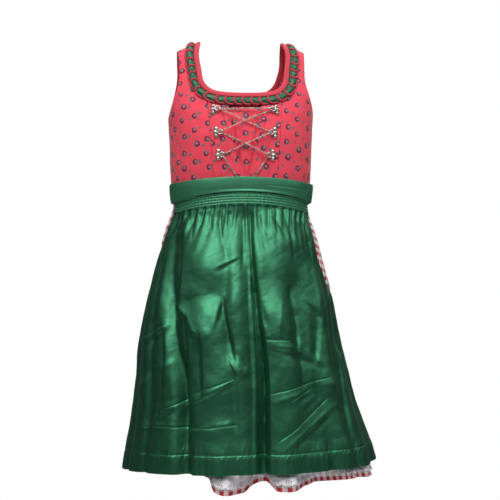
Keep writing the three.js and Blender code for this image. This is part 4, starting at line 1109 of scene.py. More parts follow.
def makeBraid():
    perPuff, across = neck["perPuff"], neck["braidColumns"]
    count = neck["puffs"] * perPuff
    half = neck["braidWidth"] / 2
    middle = neck["width"] + neck["gap"] + half
    t = np.concatenate([np.linspace(-1, 1, across), [0.6, 0.0, -0.6]])[None, :]
    isBase = (np.arange(across + 3) >= across)[None, :]
    k = np.arange(count)[:, None]
    phase = k / perPuff
    place = phase - neck["bulge"] * (1 - t**2) * ~isBase
    puffRow = np.sin(phase * 2.4) * 0.04 + np.sin(phase * 0.9 + 1) * 0.05
    wide = half * (0.90 + 0.1 * (4 * (phase % 1) * (1 - phase % 1)) + puffRow * 0.5)
    ripple = 0.45 * np.sin(t * 9 + phase * 5.1) * (1 - t**2) * np.sin(phase * math.pi)**2
    ripple = ripple + 0.22 * np.sin(phase * 2 * math.pi * 4 + 3 * t) * (1 - t**2)
    lift = np.where(isBase, neck["lift"], neck["lift"] + braidLift(phase + 0 * t, t) * (1 + puffRow) + ripple)
    lift = np.maximum(lift, neck["lift"])
    rings = neckPoint((place / neck["puffs"]) + 0 * t, middle + wide * t, lift)
    measure = np.concatenate([np.linspace(0, 1.5, across), [1.7, 2, 2.3, 2.5]]) * neck["braidWidth"]
    uv = paired(rowShares(count + 1, 0, neckLength), measure[None])
    piece = tubePiece("neck_braid_satin", rings, uv, satinBraid, True)
    dress(piece, ["neck_braid"])

    lips = makeLips(middle, half)


# The red lip of each puff: a thin roll along the curved boundary, then on along the outer edge.
def makeLips(middle, half):
    steps, sides = neck["lipSteps"], neck["lipSides"]
    s = np.linspace(0, 1, steps)
    tLip, phaseLip = (np.interp(s, neck["lip"][:, 0], neck["lip"][:, k]) for k in (1, 2))
    puffs = np.arange(neck["puffs"])[:, None]
    lipPlace = puffs + phaseLip - neck["bulge"] * np.maximum(0, 1 - tLip**2) - 0.02
    crown = np.maximum(0, 1 - np.abs(tLip)**2.6)
    lipLift = neck["lift"] + 0.9 + neck["braidHeight"] * 0.52 * crown + 0 * puffs
    lipLift = lipLift * np.interp(s, [0, 0.1, 0.9, 1], [0.7, 1, 1, 0.6])
    share = lipPlace / neck["puffs"]
    line = neckPoint(share, middle + half * tLip * 0.98, lipLift)
    outward = unit(neckPoint(share, middle + half * tLip * 0.98, lipLift + 1) - line)
    along = unit(np.gradient(line, axis=1))
    sideways = unit(np.cross(along, outward))
    outward = np.cross(sideways, along)
    radius = np.interp(s, *neck["lipRadius"].T)[None, :, None, None]
    turn = fullTurn(sides)[:, None]
    ring = np.cos(turn) * sideways[:, :, None] * 1.15 + np.sin(turn) * outward[:, :, None]
    points = (line[:, :, None] + ring * radius).reshape(-1, 3)
    n, k, i = cellsOf(neck["puffs"], steps - 1, sides)
    corner = cornersOf(k, i)
    faces = np.stack([n * steps * sides + kk * sides + ii % sides for kk, ii in corner], -1)
    uvs = np.stack([np.stack([n * 19.0 + kk * 0.7, ii * 0.9], -1) for kk, ii in corner], 1)
    ends = np.arange(neck["puffs"])[:, None] * steps * sides
    for base, order in ((0, 1), ((steps - 1) * sides, -1)):
        ids = ends + base + np.arange(sides)[None]
        for quad in ([0, 1, 2, 3], [0, 3, 4, 5]):
            cap = ids[:, quad][:, ::-order]
            faces = np.vstack([faces, cap])
            uvs = np.vstack([uvs, np.zeros((len(cap), 4, 2))])
    lips = meshPiece("neck_braid_piping", points, faces, uvs, pipingCotton)
    dress(lips)
    return lips


makeBinding()
makeBraid()
print("neck trim made")

skirt = {
    "hem": -698, "folds": 20, "perStation": 8, "rows": 100, "turnedAt": -187,
    "laceAbove": 9, "laceHigh": 28, "laceRows": 15, "lacePerStation": 16, "scallop": 4.0, "scallops": 1.1,
    "laceOut": 1.45, "laceIn": 0.75,
    # the front and the back width as rows of name, first and last station: four stations to a fold
    "widths": (("front", 20, 60), ("back", 60, 100)),
    # where the hem swings: degrees around, half width, and millimetres outwards
    "swings": ((-15, 5.5, 11), (13, 7, 11), (53, 11, 6), (-3, 5.5, -25), (31, 8, -17)),
}

# How far the hem is over its lowest height, by degrees around.
skirtHemRows = np.array([
    [-180, 0], [-132, 4], [-108, 22], [-80, 28], [-27, 30], [-20.5, 26], [-17.5, 6], [-12, 1], [-3, 0],
    [2, 11], [7, 18], [11, 5], [20, 5], [30, 12], [50, 14], [80, 6], [105, 0], [180, 0],
])

apron = {
    # its left and right edge by height, and its hem's height, both in degrees around
    "edges": np.array([
        [-690, -96, 92], [-450, -95, 90], [-410, -94, 80], [-375, -93, 67], [-336, -91, 61], [-310, -82, 62],
        [-270, -76, 74], [-230, -76, 76],
    ]),
    "hem": np.array([[-100, -680], [-40, -669], [0, -666], [50, -666], [95, -662]]),
    "gathers": 20,
    "foldHeights": (-290, -420, -530, -670),
    # where each fold runs (at the top, upper, lower and hem height), half width, depth at start, middle, end
    "folds": [
        (-64, -50, -38, -32, 12, -4, -11, -13), (-1, 2, 4, 5, 13, -3, -6, -9), (46, 34, 33, 30, 24, -2, -8, -2),
        (10, 20, 20, 15, 15, 0, 3, 2), (-30, -27, -20, -14, 22, 0, 3, 1), (52, 47, 40, 37, 10, 0, -2, -6),
        (60, 60, 54, 51, 9, 0, -3, -5), (-72, -66, -60, -57, 9, 0, -4, -6),
        (-84, -82, -78, -76, 12, -2, -3, -5),
        (70, 72, 70, 68, 12, -2, -3, -4), (-14, -14, -9, -6, 8, -2, -4, -2),
    ],
    "bandBottom": 11,
    "shirring": 20,
    "rowGap": 4.0,
    "hemFold": 29,
    # each of its two pieces: columns, rows and the sheet's flat size
    "heading": (320, 46, (0.4, 0.031)),
    "skirt": (250, 170, (0.62, 0.405)),
}


# The skirt's outline, moved in or out along its own normal by depth.
def skirtPoint(around, z, depth=0.0):
    around, z, depth = np.broadcast_arrays(np.asarray(around, float), np.asarray(z, float), depth)
    row = np.moveaxis(rowsAt(skirtRows, z), -1, 0)
    x, y = sectionPoint(around, *row)
    ax, ay = sectionPoint(around - 0.2, *row)
    bx, by = sectionPoint(around + 0.2, *row)
    length = np.hypot(bx - ax, by - ay)
    return np.stack([x - depth * (ay - by) / length, y - depth * (bx - ax) / length, z], -1)


def outlineScale(z):
    row = rowsAt(skirtRows, z)
    return ((row[..., 0] + row[..., 1]) / 2 + row[..., 2]) / 2 * math.pi / 180


# The apron's large folds: bell curves across, moved and deepened by height, and the gathers under its heading.
def apronDepth(around, z):
    scale = outlineScale(z)
    depth = -1.0 + 0 * around * z
    top, upper, lower, hem = apron["foldHeights"]
    for atTop, atUpper, atLower, atHem, width, start, middle, end in apron["folds"]:
        rows = [[hem, atHem, end], [lower, atLower, middle], [upper, atUpper, middle], [top, atTop, start]]
        found = rowsAt(rows, z)
        away = (around - found[..., 0]) * scale / width
        depth = depth + found[..., 1] * np.exp(-away**2) * smooth(-z, 262, 300)
    edges = rowsAt(apron["edges"], z)
    share = np.where(around < 0, 0.5 - around / edges[..., 0] / 2, 0.5 + around / edges[..., 1] / 2)
    gather = (1 - np.cos(2 * math.pi * apron["gathers"] * share)) / 2
    return depth - 2.2 * gather * (1 - smooth(-z, 270, 350)) * smooth(-z, 240, 262)


# The degrees around at a share of the apron's width, half of it on each side of the centre front.
def apronAround(share, edges):
    return np.where(share < 0.5, edges[..., 0] * (1 - 2 * share), edges[..., 1] * (2 * share - 1))


# Stations run round the skirt, four to a fold, a little unevenly by two slow sines.
def stationAround(station):
    turn = station / (skirt["folds"] * 4) * 360 + skirt["turnedAt"]
    return turn + 2.2 * np.sin(np.radians(3 * turn + 40)) + 1.4 * np.sin(np.radians(5 * turn))


# How deep the skirt's folds go: rounded ones between stations, deeper towards the hem and uneven all round,
# two large hollows, and under the apron never further out than the apron leaves room for.
def skirtDepth(station, around, z):
    foot = (1 - np.cos(math.pi * station / 2)) / 2
    uneven = 0.8 + 0.25 * np.sin(np.radians(2 * around + 60)) + 0.15 * np.sin(np.radians(7 * around))
    depth = -foot * uneven * mix(2, 15, smooth(-z, 250, 640))
    depth = depth - foot * 16 * np.exp(-((around - 5) / 8)**2) * smooth(-z, 420, 600)
    depth = depth - 24 * np.exp(-((around - 106) / 24)**2) * smooth(-z, 540, 690)
    edges = rowsAt(apron["edges"], z)
    left, right = edges[..., 0], edges[..., 1]
    covered = smooth(around - left, -10, -2) * (1 - smooth(around - right, 2, 10))
    depth = depth - covered * mix(2.2, 6, smooth(-z, 236, 300))
    for shift in (-5, -2.5, 0, 2.5, 5):
        under = satinWall + mix(1.8, 4.2, smooth(-z, 600, 650))
        room = apronDepth(np.clip(around + shift, left, right), z) - under
        free = smooth(-z, 262, 300) * (1 - smooth(-z, 636, 664))
        room = room - free * (7 * smooth(58 - np.abs(around), 0, 12) + 18 * np.exp(-((around - 8) / 15)**2))
        depth = np.where(covered > 0, np.minimum(depth, room * np.minimum(1, covered * 4)), depth)
    return depth


# Below the apron the hem swings: how far it stands out or in round the front.
def hemSwing(around, z, start=661):
    swing = 0 * around * z
    for centre, wide, out in skirt["swings"]:
        swing = swing + out * np.exp(-((around - centre) / wide)**2)
    return swing * smooth(-z, start, 673)


# The skirt at a station and a height over its hem line: extra small gathers run out from the waist.
def skirtAt(station, z, hemZ, inwards=0.0):
    around = wrappedTurn(stationAround(station))
    foldZ = np.maximum(z, hemZ + skirt["laceAbove"] + skirt["laceHigh"])
    depth = skirtDepth(station, around, foldZ)
    gathers = (1 - np.cos(2 * math.pi * station * 1.25 + 1.5 * np.sin(station * 0.7))) / 2
    depth = depth - 1.9 * gathers * (1 - smooth(-z, 262, 372)) * smooth(-z, 236, 250)
    free = smooth(-z, 270, 330) * (1 - smooth(-z, 600, 640))
    depth = depth + 0.5 * softWaves(station * 12, z, 70, 21) * free - 0.5 + hemSwing(around, z)
    return skirtPoint(around, z, depth - inwards)


def skirtLimits(station):
    around = wrappedTurn(stationAround(station))
    return waistHeight(around) - waist["gap"], skirt["hem"] + rowsAt(skirtHemRows, around)[..., 0]


hemStations = np.linspace(20, 100, 2001)
hemHeights = skirtLimits(hemStations)[1]
hemGirth = lengthsAlong(skirtAt(hemStations, hemHeights, hemHeights))[-1]


def makeSkirt():
    for label, first, last in skirt["widths"]:
        name = "skirt_" + label
        station = columnShares((last - first) * skirt["perStation"] + 1, first, last)
        top, hem = skirtLimits(station)
        share = rowShares(skirt["rows"])
        share = share + 0.05 * np.sin(2 * math.pi * share)
        z = mix(top, hem, share)
        turned = 0.45 * np.exp(-((z - hem - 1.2) / 1.4)**2) - 0.35 * np.exp(-((z - hem - 7.2) / 0.8)**2)
        grids = [trimmed(skirtAt(station, z, hem, inwards - turned), panelGap) for inwards in (0, cottonWall)]
        uv = paired(station * hemGirth / (skirt["folds"] * 4), z - hem)
        piece = clothPiece(name + "_cloth", grids, uv, checkCotton, 0.5, [name])
    print("skirt made, hem girth", round(hemGirth), "mm")


# The lace lies on the skirt's hem: its points are the skirt's own moved out along their normals, with a row
# of round scallops below, each all but a half circle (its height by the circle's rise over 0.97 of its radius).
def makeLace():
    for label, first, last in skirt["widths"]:
        name = "lace_" + label
        station = columnShares((last - first) * skirt["lacePerStation"] + 1, first, last)
        _, hem = skirtLimits(station)
        turn = (station * 2 * skirt["scallops"] % 2) - 1
        notch = skirt["scallop"] * (1 - np.sqrt(1 - (np.abs(turn) * 0.97)**2)) / (1 - math.sqrt(1 - 0.97**2))
        share = rowShares(skirt["laceRows"])
        height = mix(skirt["laceAbove"] + notch, skirt["laceAbove"] + skirt["laceHigh"], share)
        z = hem + height
        spots = skirtAt(station, z, hem)
        across = np.gradient(spots, axis=1)
        out = unit(np.stack([across[..., 1], -across[..., 0], 0 * across[..., 0]], -1))
        facing = np.sign((out * spots * (1, 1, 0)).sum(-1, keepdims=True))
        out = out * np.where(np.mean(facing) < 0, -1, 1)
        rim = 0.35 * np.exp(-((height - skirt["laceAbove"] - notch) / 0.9)**2)
        ruffle = 0.35 * np.sin(math.pi * (station * 2 * skirt["scallops"] + 0.5)) * (1 - share)
        flare = 1.6 * np.exp(-(height - skirt["laceAbove"] - notch) / 3.5)
        grids = [spots + out * (lift + flare + ruffle)[..., None]
                 for lift in (skirt["laceOut"] + rim, skirt["laceIn"])]
        uv = paired(station * skirt["scallops"], height - skirt["laceAbove"])
        piece = shellPiece(name + "_band", *grids, uv, laceCotton)
        dress(piece, [name])
    print("lace made")


makeSkirt()
makeLace()

apronDetail = {
    # creases by their places in the picture: x, y, x, y, half width, and the depth in millimetres, + outwards
    "creases": [
        (181, 213, 178, 250, 2.5, -2.8), (189, 213, 190, 228, 1.7, -1.4), (195, 212, 191, 240, 1.7, -1.9),
        (201, 213, 202, 226, 1.7, -1.2), (209, 212, 212, 232, 1.7, -1.5), (217, 213, 226, 258, 1.8, -1.9),
        (221, 211, 221, 248, 1.7, -1.5), (230, 211, 231, 227, 1.7, -1.4), (239, 210, 233, 242, 1.7, -1.8),
        (244.5, 207, 243, 268, 2.8, -4), (252, 212, 254, 234, 1.7, -1.5), (258, 212, 266, 252, 1.8, -2),
        (263, 226, 272, 246, 1.7, -1.2), (274, 216, 283, 234, 1.7, -1.4), (285, 216, 295, 260, 1.7, -2.1),
        (293, 214, 304, 234, 1.7, -1.5), (300, 214, 309, 240, 1.8, -1.9), (303, 236, 316, 268, 3.4, -2),
        (186, 216, 184, 236, 1.7, 1.1), (226, 214, 228, 238, 1.7, 1.1), (270, 214, 276, 236, 1.7, 1.1),
        (183, 408, 248, 373, 2.3, 2.1), (185, 411, 250, 376, 2.3, -1.3), (139, 427, 181, 427, 2.3, 1.9),
        (181, 428, 193, 431, 2.3, 1.7), (193, 431, 234, 424, 2.3, 1.9), (140, 430, 232, 428, 2.3, -1.1),
        (287, 450, 330, 409, 2.3, 2.7), (291, 452, 334, 412, 2.7, -1.7), (271, 404, 311, 391, 2.3, 1.9),
        (299, 408, 315, 395, 2.3, 1.5), (271, 346, 297, 349, 2.3, 2.3), (297, 349, 323, 364, 2.3, 2.3),
        (273, 349, 322, 368, 2.7, -1.9), (292, 288, 293, 326, 2.3, -2.5), (297, 310, 299, 343, 2.3, -2.5),
        (277, 341, 283, 294, 2.3, 1.7), (240, 256, 215, 268, 1.7, 1.6), (239, 259, 217, 272, 1.8, -1.2),
        (140, 343, 169, 324, 2.4, 2.7), (142, 347, 171, 328, 3.3, -2.3), (175, 304, 187, 318, 2.3, 2.3),
        (187, 318, 196, 336, 2.3, 1.9), (230, 357, 240, 376, 2.3, 2.7), (236, 352, 246, 369, 2.3, -2.3),
        (153, 420, 173, 404, 2.3, 1.9), (157, 423, 176, 409, 2.3, -1.5), (318, 384, 338, 383, 2.3, 1.3),
        (300, 352, 303, 388, 2.3, -1.7), (312, 366, 320, 402, 2.3, -1.5), (158, 368, 176, 362, 2.3, 1.5),
        (220, 300, 213, 330, 2.4, 2.3), (224, 298, 217, 330, 2.4, -2.3), (252, 280, 268, 330, 3.6, -2.7),
        (330, 300, 341, 352, 2.7, -2.5), (318, 290, 322, 330, 2.4, 1.7), (133, 400, 150, 376, 3, 1.9),
    ],
    # pleats by rows of left edge, right edge, y and depth
    "pleats": [
        [(247, 251, 200, 0), (247, 251, 226, 5), (250, 257, 300, 9), (254, 267, 390, 16), (255, 267, 450, 14),
         (256, 266, 474, 9)],
        [(240, 246, 212, 0), (240, 249, 300, 3.5), (240.5, 253, 390, 5), (240, 253, 474, 2.5)],
        [(174, 182, 232, 0), (170, 180, 262, 3.5), (168, 177, 300, 5), (168, 174, 334, 0)],
        [(174, 184, 310, 0), (174, 185, 340, 6), (176, 186, 400, 7.5), (177, 190, 480, 5)],
        [(186, 198, 330, 0), (187, 199, 352, 3), (187, 200, 380, 3), (190, 202, 410, 0)],
        [(300, 306, 300, 0), (310, 320, 318, 3.5), (309, 318, 350, 3.5), (306, 314, 366, 0)],
        [(288, 293, 292, 0), (290, 296, 316, 3), (292, 298, 340, 3), (292, 296, 356, 0)],
        [(214, 221, 290, 0), (216, 225, 318, 4), (222, 232, 350, 4), (228, 236, 372, 0)],
        [(150, 160, 318, 0), (150, 162, 350, 4), (146, 160, 400, 4.5), (142, 152, 430, 0)],
        [(326, 333, 320, 0), (330, 338, 350, 3), (336, 344, 400, 3.5), (344, 350, 440, 0)],
    ],
    # soft dents the same way: x, y, half width, half height, turn, and the depth in millimetres
    "dents": [
        (202, 262, 26, 15, -24, 3.4), (210, 296, 24, 11, -26, -4.4), (188, 304, 10, 12, 0, -2.0),
        (203, 334, 15, 14, 0, 4.2), (232, 300, 9, 20, 24, 2.6), (228, 342, 12, 14, 0, -2.0),
        (288, 238, 26, 16, 20, 6.0), (292, 290, 22, 16, 30, -5.5), (276, 322, 15, 24, -8, 4.6),
        (314, 326, 13, 24, -12, -2.2), (300, 374, 20, 13, 20, 2.4), (152, 300, 10, 26, 12, 1.8),
        (150, 388, 9, 30, 6, 2.6), (214, 388, 20, 14, -24, 2.0), (214, 416, 24, 12, -4, -2.0),
        (300, 418, 18, 16, -40, 2.2), (318, 442, 16, 12, -40, -1.6), (342, 404, 8, 30, -14, 2.2),
        (250, 300, 7, 50, -4, -2.0), (259, 262, 6, 22, -6, 2.6), (236, 366, 8, 12, 20, 2.4),
        (350, 440, 7, 18, -16, 1.6), (168, 270, 5, 46, 6, -2.6), (186, 398, 8, 30, 0, -2.6),
        (252, 380, 10, 70, -2, -3.0), (330, 386, 9, 12, 0, 1.6), (160, 440, 12, 10, 0, 1.0),
    ],
}


# The heights of the apron's top, the end of its heading and its hem.
def apronLimits(share):
    topAround = apronAround(share, apron["edges"][-1, 1:])
    top = waistHeight(topAround) - 4
    low = waistHeight(topAround) - apron["bandBottom"] - apron["shirring"]
    hem = rowsAt(apron["hem"], apronAround(share, apron["edges"][0, 1:]))[..., 0]
    return top, low, hem


# The apron: one cloth from under the band to the hem. Its depth is the sum of the large folds, the gathers, the
# creases, dents and pleats of the front, crumples and a puckered hem; in the heading it is five shirred rows
# that pull in between ridges.
def apronSurface(share, z, inwards):
    top, low, hem = apronLimits(share)
    around = apronAround(share, rowsAt(apron["edges"], z))
    heading = smooth(z - low, -3, 3)
    below = -(z - top)
    rowWave = 1 - 2 * np.abs(np.sin(math.pi * (below - 3.5) / apron["rowGap"]))**0.7
    pucker = softWaves(share * 420, below, 9, 31)
    pucker = pucker + 0.9 * np.sin(share * 2 * math.pi * 54 + 1.5 * np.sin(share * 37))
    shirred = mix(-1, 0.6, smooth(z, -262, -240)) + 0.3 - 0.85 * rowWave + 0.25 * pucker
    fan = np.sin(share * 2 * math.pi * 40 + 2.2 * np.sin(share * 17)) * (0.6 + 0.4 * np.sin(share * 51))
    loose = apronDepth(around, z) + 0.75 * fan * (1 - smooth(-z, 262, 320)) * smooth(-z, 258, 268)
    fromHem = z - hem
    px, py = seenAt(skirtPoint(around, z, loose))
    front = smooth(py, 206, 214) * (1 - smooth(np.abs(around), 78, 88))
    marks = creaseField(px, py, apronDetail["creases"], True) + dentField(px, py, apronDetail["dents"])
    marks = marks - pleatField(px, py, apronDetail["pleats"])
    length = around * outlineScale(z)
    hemFold = apron["hemFold"]
    loose = loose + front * marks + 2.2 * crumple(length, z, 58, 12) * smooth(-z, 262, 330)
    loose = loose + 0.9 * crumple(length, z, 30, 5) * smooth(-z, 262, 300)
    hemPucker = 0.4 * np.sin(length * 2 * math.pi / 9 + 2.5 * np.sin(length / 23)) * np.sin(length / 31 + 1)
    loose = loose + hemPucker * (1 - smooth(fromHem, 22, 36))
    loose = loose - 0.6 * np.exp(-((fromHem - hemFold) / 1.3)**2) + 0.4 * smooth(hemFold - fromHem, 0, 2)
    loose = loose + 0.45 * np.maximum(hemSwing(around, z - 6, 625), 0)
    depth = mix(loose, shirred, heading)
    return skirtPoint(around, z, depth - inwards), fromHem


def makeApron():
    for name, node, part, material in (("apron_shirring_satin", "apron_shirring", "heading", satinTrim),
                                       ("apron_satin", "apron_skirt", "skirt", satinApron)):
        columns, rows, flat = apron[part]
        share, level = columnShares(columns), rowShares(rows)
        top, low, hem = apronLimits(share)
        z = mix(top, low, level) if part == "heading" else mix(low, hem, level * (0.5 + 0.5 * level))
        outer, fromHem = apronSurface(share, z, 0)
        inner, _ = apronSurface(share, z, satinWall)
        uv = np.stack([edgeDistances(outer)[0], fromHem], -1)
        piece = clothPiece(name, (outer, inner), uv, material, 0.4, [node])
    print("apron made")


makeApron()

band = {
    "lift": 3.0, "top": 11.5, "bottom": 11, "columns": 260, "levels": 26, "measuredAt": -245,
    "tieLift": 1.2, "tieColumns": 150, "tieHalf": 14.5, "tieDrawn": 9, "tieEnd": 179.6, "tieGap": 0.3,
}


# A band round the waist between two angles: its face is crowned, with lengthwise creases.
def waistStrip(name, start, end, columns, lift, heightAt, relief, nodes):
    around, level = columnShares(columns, start, end), rowShares(band["levels"])
    up, below = heightAt(around)
    z = waistHeight(around) + mix(-below, up, level)
    crown = 0.8 * (1 - np.abs(2 * level - 1)**3.2)
    length = lengthsAlong(skirtPoint(around[0], band["measuredAt"]))[None, :]
    extra = relief(around, level, length)
    outer = skirtPoint(around, z, lift + crown + satinWall + extra)
    inner = skirtPoint(around, z, lift + crown + np.minimum(extra, 0.4))
    uv = paired(z - waistHeight(around), length)
    return clothPiece(name, (outer, inner), uv, satinTrim, 0.6, nodes)


def bandHeight(around):
    side = np.sin(np.radians(np.minimum(np.abs(around), 90)))**2
    return band["top"] + 3.5 * side, band["bottom"] + 4 * side


def tieHeight(around):
    half = mix(band["tieHalf"], band["tieDrawn"], smooth(np.abs(around), 100, 172))
    return half, half


# Folds of the band: slow waves, a sag in the middle, a place drawn in, raised ends, a slanting and a long fold.
def bandRelief(around, level, length):
    wave = 0.25 * softWaves(length, level * 40, 60, 8)
    low = level - 0.22 + 0.04 * np.cos(around / 24)
    sag = -1.9 * np.exp(-(low / 0.13)**2 - ((around - 4) / 30)**2)
    drawn = -1.7 * np.exp(-((around - 50 - 8 * level) / 8)**2 - ((level - 0.6) / 0.45)**2)
    ends = 1.3 * np.exp(-((around - 70) / 7)**2) + 0.9 * np.exp(-((around + 76) / 6)**2)
    slant = -1.1 * np.exp(-((level - 0.75 - (around + 66) / 34) / 0.10)**2) * np.exp(-((around + 66) / 11)**2)
    fold = -0.6 * np.exp(-((level - 0.42 - around / 400) / 0.04)**2)
    fold = fold * smooth(around, 12, 24) * (1 - smooth(around, 48, 62))
    return wave + sag + drawn + ends + slant + fold


# Folds of a tie: two sets of slow sines along it that deepen as it is drawn into the knot.
def tieRelief(around, level, length):
    turned = np.abs(around)
    drawn = smooth(turned, 110, 176)
    folds = 0.8 * drawn * np.sin(level * 9 + turned / 26) + 0.5 * np.sin(level * 4 + turned / 14)
    return folds * np.sin(math.pi * level)**0.5


bow = {
    "out": 73, "z": -245, "knotWide": 26, "knotHigh": 24, "knotDeep": 12, "knotRings": 34, "knotSides": 48,
    "long": 82, "high": 34, "open": 20, "rootHigh": 18, "droop": 10, "loopSteps": 120, "loopLevels": 30,
    "endRows": 110, "endColumns": 26,
}


# The knot: a flattened barrel along X with a few folds running round it.
def makeKnot():
    rows, sides = bow["knotRings"], bow["knotSides"]
    share = np.sin(rowShares(rows, -math.pi / 2, math.pi / 2))
    turn = fullTurn(sides)[None, :]
    swell = np.sqrt(np.maximum(0, 1 - 0.55 * share**2)) * np.minimum(1, (1.0001 - np.abs(share)) * 9)**0.5
    fold = 1 + 0.045 * np.sin(turn * 5 + share * 2.2) + 0.03 * np.sin(turn * 9 - share * 3)
    y = bow["out"] + bow["knotDeep"] / 2 + np.cos(turn) * bow["knotDeep"] * swell * fold / 2
    z = bow["z"] + np.sin(turn) * bow["knotHigh"] * swell * fold / 2
    x = share * bow["knotWide"] / 2 + 0 * turn
    rings = np.stack([x, y, z], -1)
    uv = paired(rowShares(rows, 0, 30), columnShares(sides + 1, 0, 70))
    piece = tubePiece("bow_knot_satin", rings, uv, satinTrim)
    dress(piece, ["bow_knot"])
    return piece


# A centripetal Catmull-Rom curve through points, sampled evenly in its own parameter.
def smoothPath(points, count):
    points = np.asarray(points, float)
    ext = np.vstack([2 * points[0] - points[1], points, 2 * points[-1] - points[-2]])
    p = np.linspace(0, len(points) - 1, count)
    k = np.minimum(p.astype(int), len(points) - 2)
    w = (p - k)[:, None]
    p0, p1, p2, p3 = (ext[k + step] for step in range(4))
    spans = ((p0, p1), (p1, p2), (p2, p3))
    d0, d1, d2 = (np.maximum(((b - a)**2).sum(-1, keepdims=True)**0.25, 1e-4) for a, b in spans)
    t1 = ((p1 - p0) / d0 - (p2 - p0) / (d0 + d1) + (p2 - p1) / d1) * d1
    t2 = ((p2 - p1) / d1 - (p3 - p1) / (d1 + d2) + (p3 - p2) / d2) * d1
    return cubicBetween(p1, p2, t1, t2, w)


# A loop: out from the knot along the skirt, round and back, its height growing and its folds dying out.
def makeLoop(side, name):
    root = side * (bow["knotWide"] / 2 + 0.4)
    middle = bow["out"] + bow["knotDeep"] / 2
    far, wide = side * bow["long"], bow["open"]
    route = ((0, -1.4), (0.4, -wide * 0.28), (0.85, -wide * 0.3), (1, 2), (0.85, wide * 0.6), (0.4, wide * 0.5),
             (0, 1.4))
    path = smoothPath([(root + far * part, middle + back, 0) for part, back in route], bow["loopSteps"])
    share, level = columnShares(len(path)), rowShares(bow["loopLevels"], -0.5, 0.5)
    tangent = unit(np.gradient(path, axis=0))
    high = mix(bow["rootHigh"], bow["high"], np.sin(math.pi * share)**0.8)
    droop = -bow["droop"] * np.sin(math.pi * share)
    near = np.minimum(share, 1 - share)
    folds = 1.3 * np.sin(level * 17 + 0.6) * np.exp(-near * 5.0) * smooth(near, 0, 0.06)
    soft = 0.8 * softWaves(share * 200, level * 40, 60, 3 if side > 0 else 9) * np.sin(math.pi * share)
    z = bow["z"] + level * high + droop + 0 * share
    grids = []
    for out in (0.5, -0.5):
        shift = out * satinWall + folds + soft
        x = path[:, 0][None] - tangent[:, 1][None] * shift
        y = path[:, 1][None] + tangent[:, 0][None] * shift
        grids.append(np.stack([x, y, z], -1))
    uv = paired(level * bow["high"], share * 190)
    piece = clothPiece(name + "_satin", grids, uv, satinTrim, 0.5, [name])


# A free end: it hangs from the knot over the skirt, widens and ripples, and is cut on a slant.
def makeTieEnd(side, length, name):
    level, place = rowShares(bow["endRows"]), columnShares(bow["endColumns"])
    z = bow["z"] - bow["knotHigh"] / 2 - 1 - length * level
    centre = 180 - side * mix(8, 13.5, level**0.8)
    wide = mix(8, 20, smooth(level, 0, 0.35))
    around = centre + (place - 0.5) * 2 * wide / outlineScale(z)
    ripple = 1.2 * np.sin(math.pi * (place * 4 + 3 * level)) * (1 - 0.3 * level)
    fine = 0.7 * np.sin(place * 13 + side) * (1 - smooth(level, 0.05, 0.35))
    clear = mix(9, 3.2, smooth(level, 0, 0.3))
    lower = z + 6 * place * level
    grids = [skirtPoint(around, lower, clear + ripple + fine + out) for out in (satinWall, 0)]
    uv = paired(place * 40, z)
    piece = clothPiece(name + "_satin", grids, uv, satinTrim, 0.5, [name])


def makeWaist():
    left, right = apron["edges"][-1, 1:]
    piece = waistStrip("apron_waistband_satin", left, right, band["columns"], band["lift"], bandHeight,
                       bandRelief, ["apron_waistband"])
    knot = makeKnot()
    gap, last = band["tieGap"], band["tieEnd"]
    ties = (("tie_right", right + gap, last, [knot]), ("tie_left", left - gap, -last, []))
    for name, start, end, extra in ties:
        piece = waistStrip(name + "_satin", start, end, band["tieColumns"], band["tieLift"], tieHeight,
                           tieRelief, [name])
    for side, label, length in ((1, "right", 255), (-1, "left", 270)):
        makeLoop(side, "bow_loop_" + label)
        makeTieEnd(side, length, "tie_end_" + label)
    print("band, ties and bow made")


makeWaist()

lacing = {
    # name, hook x, ring x, z
    "rows": [("top", 49.4, 42.6, -115.5), ("middle", 45.7, 38.9, -151.5), ("bottom", 42.1, 35.6, -186)],
    "ringRadius": 3.6, "ringWire": 1.0, "ringHeight": 4.2, "clear": 0.9, "chainRadius": 1.0,
    "lobe": 3.3, "spread": 5.6, "outerLobe": 3.7, "base": 0.7,
    "linkStep": 2.2, "linkLong": 1.95, "linkWide": 1.5, "linkWire": 0.85, "linkRings": 12, "linkSides": 6,
    "routeSteps": 6000, "ends": ((-14, -219), (15, -219)), "endTurn": 3.5, "leadIn": 3.4,
}


# The torso's own axes at x and z of its front: the point, right, up and out.
def frontBasis(x, z):
    around, down = onTorso(x, z)
    origin, out = torsoBase(around, down), torsoNormal(around, down)
    right = torsoBase(around + 0.2, down) - torsoBase(around - 0.2, down)
    right = unit(right - out * (right * out).sum(-1, keepdims=True))
    return origin, right, np.cross(out, right), out


# Quads of a torus or of any grid closed both ways.
def closedGridFaces(rows, columns):
    corner = cornersOf(*cellsOf(rows, columns))
    return np.stack([(jj % rows) * columns + ii % columns for jj, ii in corner], -1)


# A flattened dome as a grid from pole to pole; its poles are tiny closed rings.
def domeShape(centre, radii, rings=14, sides=24, lobes=0, depth=0.0):
    lat = rowShares(rings, -math.pi / 2 + 0.02, math.pi / 2 - 0.02)
    lon = fullTurn(sides)[None, :]
    flute = 1 + depth * np.cos(lon * lobes) * np.cos(lat)**2
    x = radii[0] * np.cos(lat) * np.cos(lon) * flute
    y = radii[1] * np.cos(lat) * np.sin(lon) * flute
    z = radii[2] * np.sin(lat) + 0 * lon
    points = np.stack([x, y, z], -1).reshape(-1, 3) + np.array(centre)
    return points, closedGridFaces(rings, sides)


